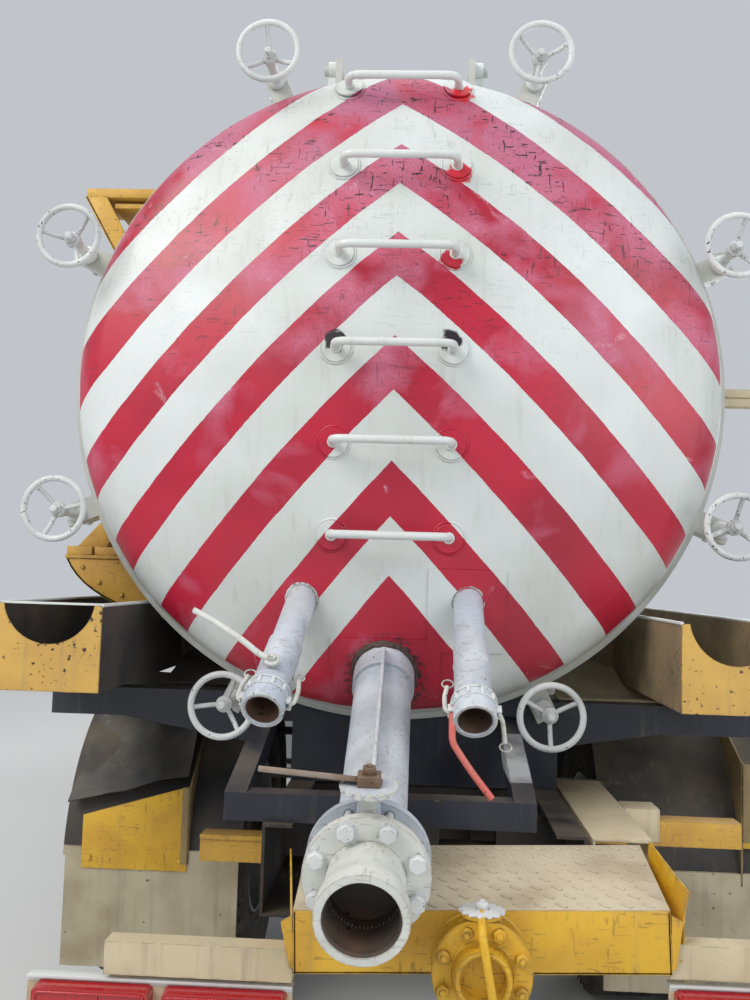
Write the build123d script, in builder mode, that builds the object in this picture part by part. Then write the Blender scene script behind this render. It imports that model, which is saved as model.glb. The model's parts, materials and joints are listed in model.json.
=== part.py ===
from build123d import *
from math import atan2, cos, degrees, hypot, radians, sin, sqrt, tan
import os

os.makedirs("parts", exist_ok=True)

# Vacuum tanker truck, in millimetres. The cab points to +Y, the tank door to -Y, the ground is Z = 0.
# Overall places
length_overall = 7880
pipe_reach = 1200
tank_side_shift = -120
bumper_side_shift = 135
tank_low_z = 1135
seat_gap = 0.3

# Tank and door
shell_radius = 1045
shell_wall = 8
shell_length = 3700
tank_flange_lip = 25
tank_flange_thickness = 25
door_ring_lip = 19
door_ring_thickness = 25
door_wall = 10
door_dish_depth = 340
front_dish_depth = 250
knuckle_radius = 150
dish_straight = 30
hinge_rise = 75
hinge_pin_radius = 16
hinge_offset = 250
manhole_radius = 260
manhole_height = 90
manhole_y = 100
lid_thickness = 14

# Door clamps
clamp_circle_lip = 60
clamp_angles = (22.5, 67.5, 112.5, 157.5, 202.5, 244, 296, 337.5)
clamp_lug_width = 70
clamp_lug_lip = 98
clamp_bolt_radius = 12
clamp_sleeve_radius = 21
hand_wheel_back = 230
hand_wheel_radius = 94
hand_wheel_bar = 9

# Rungs on the door
rung_width = 350
rung_bar_radius = 12.5
rung_pad_radius = 45
rung_pad_thickness = 8
rung_standoff = 90
rung_bend = 45
rung_heights = (959, 661, 363, 65, -219, -494)

# Pipes on the door
small_pipe_runs = (((-263, 240, 1489), (-309, 650, 1209)), ((239, 240, 1496), (244, 650, 1200)))
small_pipe_radius = 44.45
small_pipe_wall = 5
small_valve_radius = 66
small_valve_length = 105
coupling_radius = 57
coupling_length = 78
coupling_bore = 45.7
coupling_bore_depth = 52
valve_share = 0.42
lever_width = 24
lever_thickness = 8
big_pipe_radius = 84.15
big_pipe_wall = 7
big_flange_radius = 142.5
big_flange_thickness = 24
wafer_thickness = 56
wafer_radius = 108
bolt_circle_radius = 120
bolt_hole_radius = 11
bolt_count = 8
socket_length = 164
mouth_z = 872
big_pipe_x = -8
bend_offset = 92
big_pipe_root = (250, 1244)
stem_height = 195
notch_plate_radius = 65
big_lever_length = 290
socket_radius = 99.5
socket_bore = 82.5
socket_tilt = 12.5

# Chassis
rail_outer_x = 430
rail_flange = 80
rail_web = 8
rail_height = 240
rail_top_z = 900
rail_rear_back = 560
subframe_height = 110
subframe_width = 90
cross_beam_half = 1230
cross_beam_low_z = 1088
cross_beam_height = 90
cross_beam_depth = 100

# Wheels and axles
tyre_radius = 522
tyre_width = 280
tyre_shoulder = 45
rim_radius = 292
rim_wall = 12
rear_axle_back = -830
wheelbase = 4500
front_track_half = 1010
kingpin_x = 880
kingpin_radius = 20
rear_inner_x = 760
rear_outer_x = 1080
spindle_radius = 36
rear_stub_radius = 55
running_gap = 0.05

# Cab
cab_half_width = 1150
cab_wall = 50
cab_length = 1860
nose_depth = 670
cab_floor_z = 1080
cab_roof_z = 2800
cab_low_z = 760
bumper_depth = 150
door_gap = 7
door_front_inset = 260
door_opening = 820
door_low_z = 1140
door_high_z = 2600
glass_thickness = 8

cab_pivot_back = 165
cab_pivot_z = 815

# Worked-out places
tank_centre_z = tank_low_z + shell_radius
tank_flange_radius = shell_radius + tank_flange_lip
door_ring_radius = shell_radius + door_ring_lip
clamp_circle_radius = tank_flange_radius + clamp_circle_lip
clamp_lug_radius = tank_flange_radius + clamp_lug_lip
hinge_height = shell_radius + hinge_rise
rear_y = -length_overall / 2
front_y = length_overall / 2
mouth_y = rear_y + socket_radius * sin(radians(socket_tilt))
rim_y = mouth_y + pipe_reach
rear_axle_y = rim_y - rear_axle_back
front_axle_y = rear_axle_y + wheelbase
rail_low_z = rail_top_z - rail_height
rail_rear_y = rim_y - rail_rear_back
cab_face_y = front_y - 80
cab_rear_y = cab_face_y - cab_length
door_front_y = cab_face_y - door_front_inset
door_rear_y = door_front_y - door_opening
gearbox_rear_y = cab_rear_y
mirror_foot_y = cab_face_y - 150
mirror_y = cab_face_y - 70
cab_pivot_y = front_y - cab_pivot_back
shell_low_z = tank_centre_z - shell_radius
shell_front_y = rim_y + shell_length
hinge_y = rim_y + tank_flange_thickness + 22
hinge_z = tank_centre_z + hinge_height
centre_axis = Axis((tank_side_shift, 0, tank_centre_z), (0, 1, 0))


def at_tank(x, back, z):
    """A place given from the tank's centre plane, the distance behind the rim and the height."""
    return (tank_side_shift + x, rim_y - back, z)


def crown_radius(depth):
    """The radius of the shallow dome that meets the knuckle smoothly."""
    reach = shell_radius - knuckle_radius
    rise = depth - dish_straight
    return (reach**2 + rise**2 - knuckle_radius**2) / (2 * (rise - knuckle_radius))


def knuckle_lean(depth):
    """The angle, seen from the dome's centre, at which the crown meets the knuckle."""
    return atan2(crown_radius(depth) - depth + dish_straight, shell_radius - knuckle_radius)


def dish_height(radius, depth):
    """How far the dome stands out at a distance from its centre."""
    reach = shell_radius - knuckle_radius
    if radius > reach + knuckle_radius * cos(knuckle_lean(depth)):
        return dish_straight + sqrt(knuckle_radius**2 - (radius - reach)**2)
    crown = crown_radius(depth)
    return depth - crown + sqrt(crown**2 - radius**2)


def polar(centre, radius, angle):
    """A point on a circle, with the angle in radians."""
    return (centre[0] + radius * cos(angle), centre[1] + radius * sin(angle))


def dish_face(plane, depth, wall):
    """Half a dished end, local x outward from the axis and local y along the bulge."""
    crown = crown_radius(depth)
    lean = knuckle_lean(depth)
    crown_at = (0, depth - crown)
    knuckle_at = (shell_radius - knuckle_radius, dish_straight)
    middle = (lean + radians(90)) / 2
    inner = shell_radius - wall
    with BuildSketch(plane) as half:
        with BuildLine():
            ThreePointArc((0, depth), polar(crown_at, crown, middle), polar(crown_at, crown, lean))
            ThreePointArc(polar(crown_at, crown, lean), polar(knuckle_at, knuckle_radius, lean / 2),
                          (shell_radius, dish_straight))
            Polyline((shell_radius, dish_straight), (shell_radius, 0), (inner, 0), (inner, dish_straight))
            ThreePointArc((inner, dish_straight), polar(knuckle_at, knuckle_radius - wall, lean / 2),
                          polar(crown_at, crown - wall, lean))
            ThreePointArc(polar(crown_at, crown - wall, lean), polar(crown_at, crown - wall, middle),
                          (0, depth - wall))
            Line((0, depth - wall), (0, depth))
        make_face()
    return half.sketch


def filled_dome(plane, depth):
    """The dome as a full body, to trim what stands on it."""
    crown = crown_radius(depth)
    lean = knuckle_lean(depth)
    crown_at = (0, depth - crown)
    knuckle_at = (shell_radius - knuckle_radius, dish_straight)
    middle = (lean + radians(90)) / 2
    with BuildPart() as dome:
        with BuildSketch(plane):
            with BuildLine():
                ThreePointArc((0, depth), polar(crown_at, crown, middle), polar(crown_at, crown, lean))
                ThreePointArc(polar(crown_at, crown, lean), polar(knuckle_at, knuckle_radius, lean / 2),
                              (shell_radius, dish_straight))
                Polyline((shell_radius, dish_straight), (shell_radius, 0), (0, 0), (0, depth))
            make_face()
        revolve(axis=centre_axis)
    return dome.part


def tube_plane(start, end):
    """A plane at the start whose normal points to the end."""
    way = Vector(*end) - Vector(*start)
    return Plane(origin=start, z_dir=way)


def span(start, end):
    """The distance between two places."""
    return (Vector(*end) - Vector(*start)).length


def between(start, end, share):
    """A place between two others."""
    return tuple(start[i] + (end[i] - start[i]) * share for i in range(3))


rear_face = Plane(at_tank(0, 0, tank_centre_z), x_dir=(1, 0, 0), z_dir=(0, 0, -1))
front_face = Plane((tank_side_shift, shell_front_y, tank_centre_z), x_dir=(1, 0, 0), z_dir=(0, 0, 1))
rim_plane = Plane(at_tank(0, 0, tank_centre_z), x_dir=(1, 0, 0), z_dir=(0, -1, 0))
dome_body = filled_dome(rear_face, door_dish_depth)


def finish(piece, name):
    """Label a finished piece and write it."""
    piece.label = name
    export_step(piece, f"parts/{name}.step")


# Tank shell: a hollow barrel with a dished front end, a rear flange and a manhole neck
neck_top_z = tank_centre_z + shell_radius + manhole_height
neck_plane = Plane((tank_side_shift, manhole_y, neck_top_z), x_dir=(1, 0, 0), z_dir=(0, 0, 1))
with BuildPart() as tank_shell:
    with BuildSketch(rim_plane):
        Circle(shell_radius)
        Circle(shell_radius - shell_wall, mode=Mode.SUBTRACT)
    extrude(amount=-shell_length)
    add(dish_face(front_face, front_dish_depth, shell_wall))
    revolve(axis=centre_axis)
    with BuildSketch(rim_plane):
        Circle(tank_flange_radius)
        for angle in clamp_angles:
            with Locations(Rot(0, 0, angle) * Pos((tank_flange_radius + clamp_lug_radius) / 2 - 15, 0)):
                Rectangle(clamp_lug_radius - tank_flange_radius + 30, clamp_lug_width)
        Circle(shell_radius - shell_wall, mode=Mode.SUBTRACT)
    extrude(amount=-tank_flange_thickness)
    with BuildSketch(neck_plane):
        Circle(manhole_radius)
    extrude(amount=-manhole_height - 120)
    with BuildSketch(neck_plane):
        Circle(manhole_radius - 10)
    extrude(amount=-manhole_height - 140, mode=Mode.SUBTRACT)
    with BuildSketch(rim_plane):
        Circle(shell_radius - shell_wall)
    extrude(amount=-shell_length, mode=Mode.SUBTRACT)
    with BuildSketch(Plane.YZ.offset(tank_side_shift - hinge_offset - 14)):
        with Locations((hinge_y, hinge_z)):
            Circle(hinge_pin_radius + 16)
        with BuildLine():
            Polyline((hinge_y - 20, hinge_z - 30), (hinge_y + 20, hinge_z - 30),
                     (hinge_y + 60, tank_centre_z + shell_radius - 40),
                     (rim_y + 1, tank_centre_z + shell_radius - 40), (hinge_y - 20, hinge_z - 30))
        make_face()
    hinge_post = extrude(amount=28)
    mirror(hinge_post, about=Plane.YZ.offset(tank_side_shift))
    with BuildSketch(Plane.YZ.offset(tank_side_shift - hinge_offset - 40)):
        with Locations((hinge_y, hinge_z)):
            Circle(hinge_pin_radius + running_gap)
    extrude(amount=2 * hinge_offset + 80, mode=Mode.SUBTRACT)
finish(tank_shell.part, "tank_shell")

# Manhole lid: a dished cap with a rim, hinged at the front of its neck
lid_z = neck_top_z + seat_gap
lid_hinge_y = manhole_y + manhole_radius + 40
with BuildPart() as manhole_lid:
    with BuildSketch(Plane.XY.offset(lid_z)):
        with Locations((tank_side_shift, manhole_y)):
            Circle(manhole_radius + 20)
    extrude(amount=lid_thickness)
    with BuildSketch(Plane.XY.offset(lid_z + lid_thickness)):
        with Locations((tank_side_shift, manhole_y)):
            Circle(manhole_radius - 40)
    extrude(amount=40, taper=50)
    with BuildSketch(Plane.XY.offset(lid_z)):
        with Locations((tank_side_shift, lid_hinge_y - 15)):
            Rectangle(90, 80)
    extrude(amount=lid_thickness)
finish(manhole_lid.part, "manhole_lid")

# Rear door: a dished end with a ring, clamp lugs and hinge arms
with BuildPart() as rear_door:
    add(dish_face(rear_face, door_dish_depth, door_wall))
    revolve(axis=centre_axis)
    with BuildSketch(rim_plane.offset(seat_gap)):
        Circle(door_ring_radius)
        for angle in clamp_angles:
            with Locations(Rot(0, 0, angle) * Pos((door_ring_radius + clamp_lug_radius) / 2 - 15, 0)):
                Rectangle(clamp_lug_radius - door_ring_radius + 30, clamp_lug_width)
            with Locations(Rot(0, 0, angle) * Pos(clamp_circle_radius, 0)):
                Circle(clamp_bolt_radius + seat_gap, mode=Mode.SUBTRACT)
            with Locations(Rot(0, 0, angle) * Pos(clamp_circle_radius + 30, 0)):
                Rectangle(60, 2 * (clamp_bolt_radius + seat_gap), mode=Mode.SUBTRACT)
        Circle(shell_radius - 4, mode=Mode.SUBTRACT)
    extrude(amount=door_ring_thickness)
    with BuildSketch(Plane.YZ.offset(tank_side_shift - hinge_offset + 15)):
        with Locations((hinge_y, hinge_z)):
            Circle(hinge_pin_radius + 16)
        with BuildLine():
            Polyline((hinge_y, hinge_z + 32), (rim_y - 30, hinge_z + 10), (rim_y - 30, hinge_z - 110),
                     (rim_y - seat_gap - 1, hinge_z - 110), (rim_y - seat_gap - 1, hinge_z - 22),
                     (hinge_y, hinge_z - 32), (hinge_y, hinge_z + 32))
        make_face()
    hinge_arm = extrude(amount=22)
    mirror(hinge_arm, about=Plane.YZ.offset(tank_side_shift))
    with BuildSketch(Plane.YZ.offset(tank_side_shift - hinge_offset - 30)):
        with Locations((hinge_y, hinge_z)):
            Circle(hinge_pin_radius)
    hinge_pin = extrude(amount=55)
    mirror(hinge_pin, about=Plane.YZ.offset(tank_side_shift))
finish(rear_door.part, "rear_door")

# Rungs: bent round bars on pads that sit on the dome
with BuildPart() as door_rungs:
    for height in rung_heights:
        half = rung_width / 2
        foot = dish_height(hypot(half, height), door_dish_depth) - 40
        reach = dish_height(abs(height), door_dish_depth) + rung_standoff
        z = tank_centre_z + height
        with BuildLine() as route:
            FilletPolyline(at_tank(-half, foot, z), at_tank(-half, reach, z), at_tank(half, reach, z),
                           at_tank(half, foot, z), radius=rung_bend)
        with BuildSketch(Plane(at_tank(-half, foot, z), z_dir=(0, -1, 0))):
            Circle(rung_bar_radius)
        sweep(path=route.line)
        with BuildSketch(Plane(at_tank(0, foot - 20, z), x_dir=(1, 0, 0), z_dir=(0, -1, 0))):
            with GridLocations(rung_width, 0, 2, 1):
                Circle(rung_pad_radius)
        extrude(amount=60 + rung_pad_thickness)
    add(dome_body, mode=Mode.SUBTRACT)
finish(door_rungs.part, "door_rungs")

# Clamps: a bolt in each lug with a sleeve and a three-spoke hand wheel
with BuildPart() as clamp_handwheels:
    for angle in clamp_angles:
        hub = Plane(rim_plane.origin, x_dir=(cos(radians(angle)), 0, sin(radians(angle))), z_dir=(0, -1, 0))
        with BuildSketch(hub.offset(seat_gap)):
            with Locations((clamp_circle_radius, 0)):
                Circle(clamp_bolt_radius)
        extrude(amount=door_ring_thickness + 1)
        with BuildSketch(hub.offset(seat_gap + door_ring_thickness + seat_gap)):
            with Locations((clamp_circle_radius, 0)):
                Circle(clamp_sleeve_radius)
        extrude(amount=hand_wheel_back - door_ring_thickness + 14)
        with BuildSketch(hub.offset(hand_wheel_back - 7)):
            with Locations((clamp_circle_radius, 0)):
                with PolarLocations(hand_wheel_radius / 2, 3, start_angle=30):
                    Rectangle(hand_wheel_radius, 16)
        extrude(amount=12)
        with BuildSketch(Plane(hub.origin, x_dir=hub.x_dir, z_dir=hub.y_dir)):
            with Locations((clamp_circle_radius + hand_wheel_radius, -hand_wheel_back)):
                Circle(hand_wheel_bar)
        axis_point = hub.from_local_coords((clamp_circle_radius, 0, 0))
        revolve(axis=Axis(axis_point, (0, 1, 0)))
finish(clamp_handwheels.part, "clamp_handwheels")

# Suction pipes: two bent-down tubes, each with a ball valve and a hose coupling at its mouth
with BuildPart() as suction_pipes:
    for pipe_root, pipe_mouth in small_pipe_runs:
        start = at_tank(*pipe_root)
        end = at_tank(*pipe_mouth)
        length = span(start, end)
        plane = tube_plane(start, end)
        with BuildSketch(plane.offset(-150)):
            Circle(small_pipe_radius)
        extrude(amount=length + 150)
        valve_start = length * valve_share
        with BuildSketch(plane.offset(valve_start)):
            Circle(small_valve_radius)
        extrude(amount=small_valve_length)
        for end_ring in (valve_start - 22, valve_start + small_valve_length):
            with BuildSketch(plane.offset(end_ring)):
                RegularPolygon(small_valve_radius - 6, 8)
            extrude(amount=22)
        with BuildSketch(plane.offset(length - coupling_length)):
            Circle(coupling_radius)
        extrude(amount=coupling_length)
        with BuildSketch(plane.offset(length)):
            Circle(coupling_bore)
        extrude(amount=-coupling_bore_depth, mode=Mode.SUBTRACT)
        with BuildSketch(plane.offset(length)):
            Circle(small_pipe_radius - small_pipe_wall)
        extrude(amount=valve_start + small_valve_length + 10 - length, mode=Mode.SUBTRACT)
    add(dome_body, mode=Mode.SUBTRACT)
finish(suction_pipes.part, "suction_pipes")

# Discharge line: pipe, flanges, butterfly valve and flared socket on one tilted axis
lean_down = radians(socket_tilt)
mouth = (tank_side_shift + big_pipe_x, mouth_y, mouth_z)
line_way = Vector(0, cos(lean_down), sin(lean_down))
line_plane = Plane(origin=mouth, x_dir=(1, 0, 0), z_dir=line_way)
front_flange_at = socket_length
wafer_at = front_flange_at + big_flange_thickness
back_flange_at = wafer_at + wafer_thickness
pipe_at = back_flange_at + big_flange_thickness
mitre = Vector(*mouth) + line_way * (pipe_at + bend_offset)
root = Vector(*at_tank(big_pipe_x, *big_pipe_root))
root_in = root + (root - mitre).normalized() * 200
pipe_way = (root - mitre).normalized()
pipe_side = Vector(0, -pipe_way.Z, pipe_way.Y)
upper_plane = Plane(origin=mitre, x_dir=(1, 0, 0), z_dir=pipe_way)
upper_length = (root_in - mitre).length
bend_overlap = 10
weld_bead = 2
fin_foot = big_pipe_radius - 3
fin_height = 50
fin_thickness = 10
collar_thickness = 8
with BuildPart() as discharge_pipe:
    with BuildSketch(line_plane.offset(back_flange_at)):
        Circle(big_pipe_radius)
    extrude(amount=pipe_at + bend_offset - back_flange_at)
    with BuildSketch(upper_plane):
        Circle(big_pipe_radius)
    extrude(amount=upper_length)
    with Locations(mitre):
        Sphere(big_pipe_radius + weld_bead)
    with BuildSketch(upper_plane.offset(upper_length)):
        Circle(big_pipe_radius + collar_thickness)
    extrude(amount=-225)
    with BuildSketch(line_plane.offset(back_flange_at)):
        Circle(big_flange_radius)
        with PolarLocations(bolt_circle_radius, bolt_count, start_angle=22.5):
            Circle(bolt_hole_radius, mode=Mode.SUBTRACT)
    extrude(amount=big_flange_thickness)
    with BuildSketch(Plane.YZ.offset(tank_side_shift + big_pipe_x - fin_thickness / 2)):
        corners = [mitre + pipe_way * 40 + pipe_side * fin_foot,
                   mitre + pipe_way * 60 + pipe_side * (fin_foot + fin_height),
                   root + pipe_side * (fin_foot + fin_height), root + pipe_way * 60 + pipe_side * fin_foot]
        with BuildLine():
            Polyline([(corner.Y, corner.Z) for corner in corners], close=True)
        make_face()
    extrude(amount=fin_thickness)
    with BuildSketch(line_plane.offset(back_flange_at)):
        Circle(big_pipe_radius - big_pipe_wall)
    extrude(amount=pipe_at + bend_offset - back_flange_at + bend_overlap, mode=Mode.SUBTRACT)
    with BuildSketch(upper_plane.offset(-bend_overlap)):
        Circle(big_pipe_radius - big_pipe_wall)
    extrude(amount=upper_length + 40, mode=Mode.SUBTRACT)
    add(dome_body, mode=Mode.SUBTRACT)
finish(discharge_pipe.part, "discharge_pipe")

with BuildPart() as discharge_valve:
    with BuildSketch(line_plane.offset(wafer_at + seat_gap)):
        Circle(wafer_radius)
        Circle(big_pipe_radius - big_pipe_wall, mode=Mode.SUBTRACT)
    extrude(amount=wafer_thickness - 2 * seat_gap)
    with BuildSketch(line_plane.offset(wafer_at + wafer_thickness / 2 - 8)):
        Circle(big_pipe_radius)
    extrude(amount=16)
    stem_plane = Plane(origin=line_plane.offset(wafer_at + wafer_thickness / 2).origin,
                         x_dir=(1, 0, 0), z_dir=(0, -sin(lean_down), cos(lean_down)))
    with BuildSketch(stem_plane.offset(wafer_radius - 10)):
        Circle(20)
    extrude(amount=stem_height - wafer_radius + 10)
    with BuildSketch(stem_plane.offset(stem_height - 10)):
        Circle(notch_plate_radius)
        with PolarLocations(notch_plate_radius, 7, start_angle=100, angular_range=160):
            Circle(6, mode=Mode.SUBTRACT)
    extrude(amount=10)
finish(discharge_valve.part, "discharge_valve")

with BuildPart() as discharge_socket:
    with BuildSketch(line_plane):
        Circle(socket_radius)
    extrude(amount=40)
    with BuildSketch(line_plane.offset(40)):
        Circle(socket_radius)
    with BuildSketch(line_plane.offset(90)):
        Circle(big_pipe_radius + 4)
    loft()
    with BuildSketch(line_plane.offset(90)):
        Circle(big_pipe_radius + 4)
    extrude(amount=socket_length - 90)
    with BuildSketch(line_plane.offset(front_flange_at)):
        Circle(big_flange_radius)
        with PolarLocations(bolt_circle_radius, bolt_count, start_angle=22.5):
            Circle(bolt_hole_radius, mode=Mode.SUBTRACT)
    extrude(amount=big_flange_thickness)
    with BuildSketch(line_plane):
        Circle(socket_bore)
    extrude(amount=100, mode=Mode.SUBTRACT)
    with BuildSketch(line_plane.offset(100)):
        Circle(big_pipe_radius - big_pipe_wall)
    extrude(amount=socket_length, mode=Mode.SUBTRACT)
finish(discharge_socket.part, "discharge_socket")

# Levers of the three valves and the cam arms of the couplings
with BuildPart() as pipe_levers:
    for side, (pipe_root, pipe_mouth) in zip((-1, 1), small_pipe_runs):
        start = at_tank(*pipe_root)
        end = at_tank(*pipe_mouth)
        length = span(start, end)
        way = (Vector(*end) - Vector(*start)).normalized()
        flat = Plane(origin=start, x_dir=(1, 0, 0), z_dir=way)
        centre = flat.offset(length * valve_share + small_valve_length / 2)
        stem = Plane(origin=centre.origin, x_dir=(1, 0, 0), z_dir=-centre.y_dir)
        if stem.z_dir.Z < 0:
            stem = Plane(origin=centre.origin, x_dir=(1, 0, 0), z_dir=centre.y_dir)
        with BuildSketch(stem.offset(small_valve_radius + seat_gap)):
            Circle(14)
        extrude(amount=22)
        swing = (150, 40)[side > 0]
        with BuildSketch(stem.offset(small_valve_radius + seat_gap + 12)):
            with Locations(Rot(0, 0, swing) * Pos(105, 0)):
                SlotOverall(250, lever_width)
        extrude(amount=lever_thickness)
        for arm in (-1, 1):
            reach = coupling_radius + seat_gap
            with BuildSketch(flat.offset(length - coupling_length + 20)):
                with Locations((arm * (reach + 8), 0)):
                    Rectangle(16, 22)
            extrude(amount=26)
            with BuildSketch(flat.offset(length - coupling_length + 46)):
                with Locations((arm * (reach + 11), 0)):
                    Rectangle(10, 20)
            extrude(amount=-92)
    with BuildSketch(stem_plane.offset(stem_height + seat_gap)):
        with Locations((-big_lever_length / 2 + 20, 0)):
            SlotOverall(big_lever_length, 30)
    extrude(amount=lever_thickness)
    with BuildSketch(stem_plane.offset(stem_height + seat_gap + lever_thickness)):
        RegularPolygon(16, 6)
    extrude(amount=12)
finish(pipe_levers.part, "pipe_levers")


# Chassis: two inward-facing channels joined by cross members, the last one with a drawbar slot
across = Plane(origin=(0, rail_rear_y, 0), x_dir=(1, 0, 0), z_dir=(0, -1, 0))
rail_front_y = front_y - 240
rail_length = rail_front_y - rail_rear_y
cross_member_ys = (rim_y - 120, rear_axle_y - 520, rear_axle_y + 560, cab_rear_y - 1700, cab_rear_y - 500,
                   cab_rear_y + 1500)
with BuildPart() as chassis_frame:
    with BuildSketch(across):
        for side in (-1, 1):
            with Locations((side * (rail_outer_x - rail_flange / 2), (rail_low_z + rail_top_z) / 2)):
                Rectangle(rail_flange, rail_height)
            with Locations((side * (rail_outer_x - rail_flange / 2 - rail_web),
                            (rail_low_z + rail_top_z) / 2)):
                Rectangle(rail_flange, rail_height - 2 * rail_web, mode=Mode.SUBTRACT)
    extrude(amount=-rail_length)
    for member_y in cross_member_ys:
        with BuildSketch(Plane(origin=(0, member_y, 0), x_dir=(1, 0, 0), z_dir=(0, -1, 0))):
            with Locations((0, rail_low_z + rail_height / 2 + 10)):
                Rectangle(2 * (rail_outer_x - rail_web), rail_height - 110)
        extrude(amount=90)
    with BuildSketch(Plane(origin=(0, rim_y, 0), x_dir=(1, 0, 0), z_dir=(0, -1, 0))):
        with Locations((bumper_side_shift, rail_low_z + rail_height / 2 + 20)):
            Rectangle(170, 60)
    extrude(amount=400, both=True, mode=Mode.SUBTRACT)
    for side in (-1, 1):
        with BuildSketch(Plane.YZ.offset(side * (rail_outer_x - 40) - 15)):
            with Locations((cab_pivot_y, cab_pivot_z)):
                Circle(28)
            with BuildLine():
                Polyline((cab_pivot_y, cab_pivot_z + 28), (rail_front_y - 120, rail_top_z),
                         (rail_front_y - 120, rail_top_z - 60), (cab_pivot_y, cab_pivot_z - 28),
                         (cab_pivot_y, cab_pivot_z + 28))
            make_face()
            with Locations((cab_pivot_y, cab_pivot_z)):
                Circle(20 + running_gap, mode=Mode.SUBTRACT)
        extrude(amount=30)
        with Locations((side * (rail_outer_x - 40), cab_rear_y + 120,
                        (rail_top_z + cab_floor_z - seat_gap) / 2)):
            Box(80, 90, cab_floor_z - seat_gap - rail_top_z)
finish(chassis_frame.part, "chassis_frame")

# Subframe: long beams, saddles and cross beam under the tank, and the loop under the pipes
saddle_ys = (-1250, 100, shell_front_y - 150)
saddle_half = 560
gusset_reach = 900
loop_back = 500
loop_height = 75
loop_half = 420
with BuildPart() as subframe:
    seat_z = rail_top_z + seat_gap
    with BuildSketch(Plane(origin=(0, rim_y + 30, 0), x_dir=(1, 0, 0), z_dir=(0, -1, 0))):
        for side in (-1, 1):
            with Locations((side * (rail_outer_x - subframe_width / 2), seat_z + subframe_height / 2)):
                Rectangle(subframe_width, subframe_height)
    extrude(amount=rim_y + 30 - cab_rear_y + 40)
    for saddle_y in saddle_ys:
        wide = saddle_half
        high = shell_low_z + 130
        low = seat_z + subframe_height
        with BuildSketch(Plane(origin=(0, saddle_y + 50, 0), x_dir=(1, 0, 0), z_dir=(0, -1, 0))):
            with Locations((tank_side_shift, (low + high) / 2)):
                Rectangle(2 * wide, high - low)
            with Locations((0, (seat_z + low) / 2 + 40)):
                Rectangle(2 * rail_outer_x, low - seat_z + 60)
        extrude(amount=cross_beam_depth)
    with BuildSketch(Plane(origin=(0, rim_y + 130, 0), x_dir=(1, 0, 0), z_dir=(0, -1, 0))):
        with Locations((0, cross_beam_low_z + cross_beam_height / 2)):
            Rectangle(2 * cross_beam_half, cross_beam_height)
        with Locations((0, (seat_z + cross_beam_low_z + 4) / 2)):
            Rectangle(2 * rail_outer_x, cross_beam_low_z + 4 - seat_z)
    extrude(amount=cross_beam_depth)
    with BuildSketch(Plane(origin=(0, rim_y + 42, 0), x_dir=(1, 0, 0), z_dir=(0, -1, 0))):
        for side in (-1, 1):
            with BuildLine():
                low = cross_beam_low_z
                Polyline((tank_side_shift + side * gusset_reach, low + 5),
                         (tank_side_shift + side * 420, low - 75), (tank_side_shift + side * 420, low + 5),
                         (tank_side_shift + side * gusset_reach, low + 5))
            make_face()
    extrude(amount=12)
    with BuildSketch(Plane(origin=(0, rim_y - loop_back + 35, 0), x_dir=(1, 0, 0), z_dir=(0, -1, 0))):
        with Locations((tank_side_shift, seat_z + loop_height / 2)):
            Rectangle(2 * loop_half, loop_height)
    extrude(amount=70)
    with BuildSketch(Plane.YZ.offset(tank_side_shift - loop_half)):
        with BuildLine():
            Polyline((rim_y - loop_back - 35, seat_z), (rim_y - loop_back - 35, seat_z + loop_height),
                     (rim_y + 32, cross_beam_low_z + 40), (rim_y + 32, cross_beam_low_z - 20),
                     (rim_y - loop_back + 35, seat_z), (rim_y - loop_back - 35, seat_z))
        make_face()
    arm = extrude(amount=60)
    mirror(arm, about=Plane.YZ.offset(tank_side_shift))
    with BuildSketch(rim_plane):
        Circle(shell_radius + seat_gap)
    extrude(amount=-shell_length - 100, mode=Mode.SUBTRACT)
finish(subframe.part, "subframe")

# Hose trays: open troughs along both sides, with a half-moon cut in the end plates
tray_inner_left = 800
tray_inner_right = 816
tray_width = 304
tray_low_z = 1217
tray_height = 244
tray_wall = 4
tray_back = 470
tray_length = 3400
bracket_backs = (-500, -1150, -1900, -2850)
with BuildPart() as hose_trays:
    tray_end = Plane(origin=at_tank(0, tray_back, tray_low_z), x_dir=(1, 0, 0), z_dir=(0, 1, 0))
    for side, tray_inner in ((-1, tray_inner_left), (1, tray_inner_right)):
        middle = side * (tray_inner + tray_width / 2)
        with BuildSketch(Plane(origin=at_tank(middle, tray_back, tray_low_z), x_dir=(1, 0, 0),
                               z_dir=(0, -1, 0))):
            with Locations((0, tray_height / 2)):
                Rectangle(tray_width, tray_height)
            with Locations((0, tray_height / 2 + tray_wall)):
                Rectangle(tray_width - 2 * tray_wall, tray_height, mode=Mode.SUBTRACT)
        extrude(amount=-tray_length)
        for end_back in (tray_back, tray_back - tray_length + tray_wall):
            with BuildSketch(Plane(origin=at_tank(middle, end_back, tray_low_z), x_dir=(1, 0, 0),
                                   z_dir=(0, -1, 0))):
                with Locations((0, tray_height / 2)):
                    Rectangle(tray_width, tray_height)
                with Locations((0, tray_height + 20)):
                    Circle(tray_width / 2 - 20, mode=Mode.SUBTRACT)
            extrude(amount=-tray_wall)
        for bracket_back in bracket_backs:
            with BuildSketch(Plane(origin=at_tank(0, bracket_back, 0), x_dir=(1, 0, 0), z_dir=(0, -1, 0))):
                with BuildLine():
                    top = tray_low_z + tray_height
                    Polyline((side * tray_inner, top), (side * tray_inner, tray_low_z + 40),
                             (side * 600, tray_low_z + 110), (side * 600, top), (side * tray_inner, top))
                make_face()
            extrude(amount=-12)
    with BuildSketch(rim_plane.offset(600)):
        Circle(shell_radius + seat_gap)
    extrude(amount=-shell_length, mode=Mode.SUBTRACT)
finish(hose_trays.part, "hose_trays")

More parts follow.
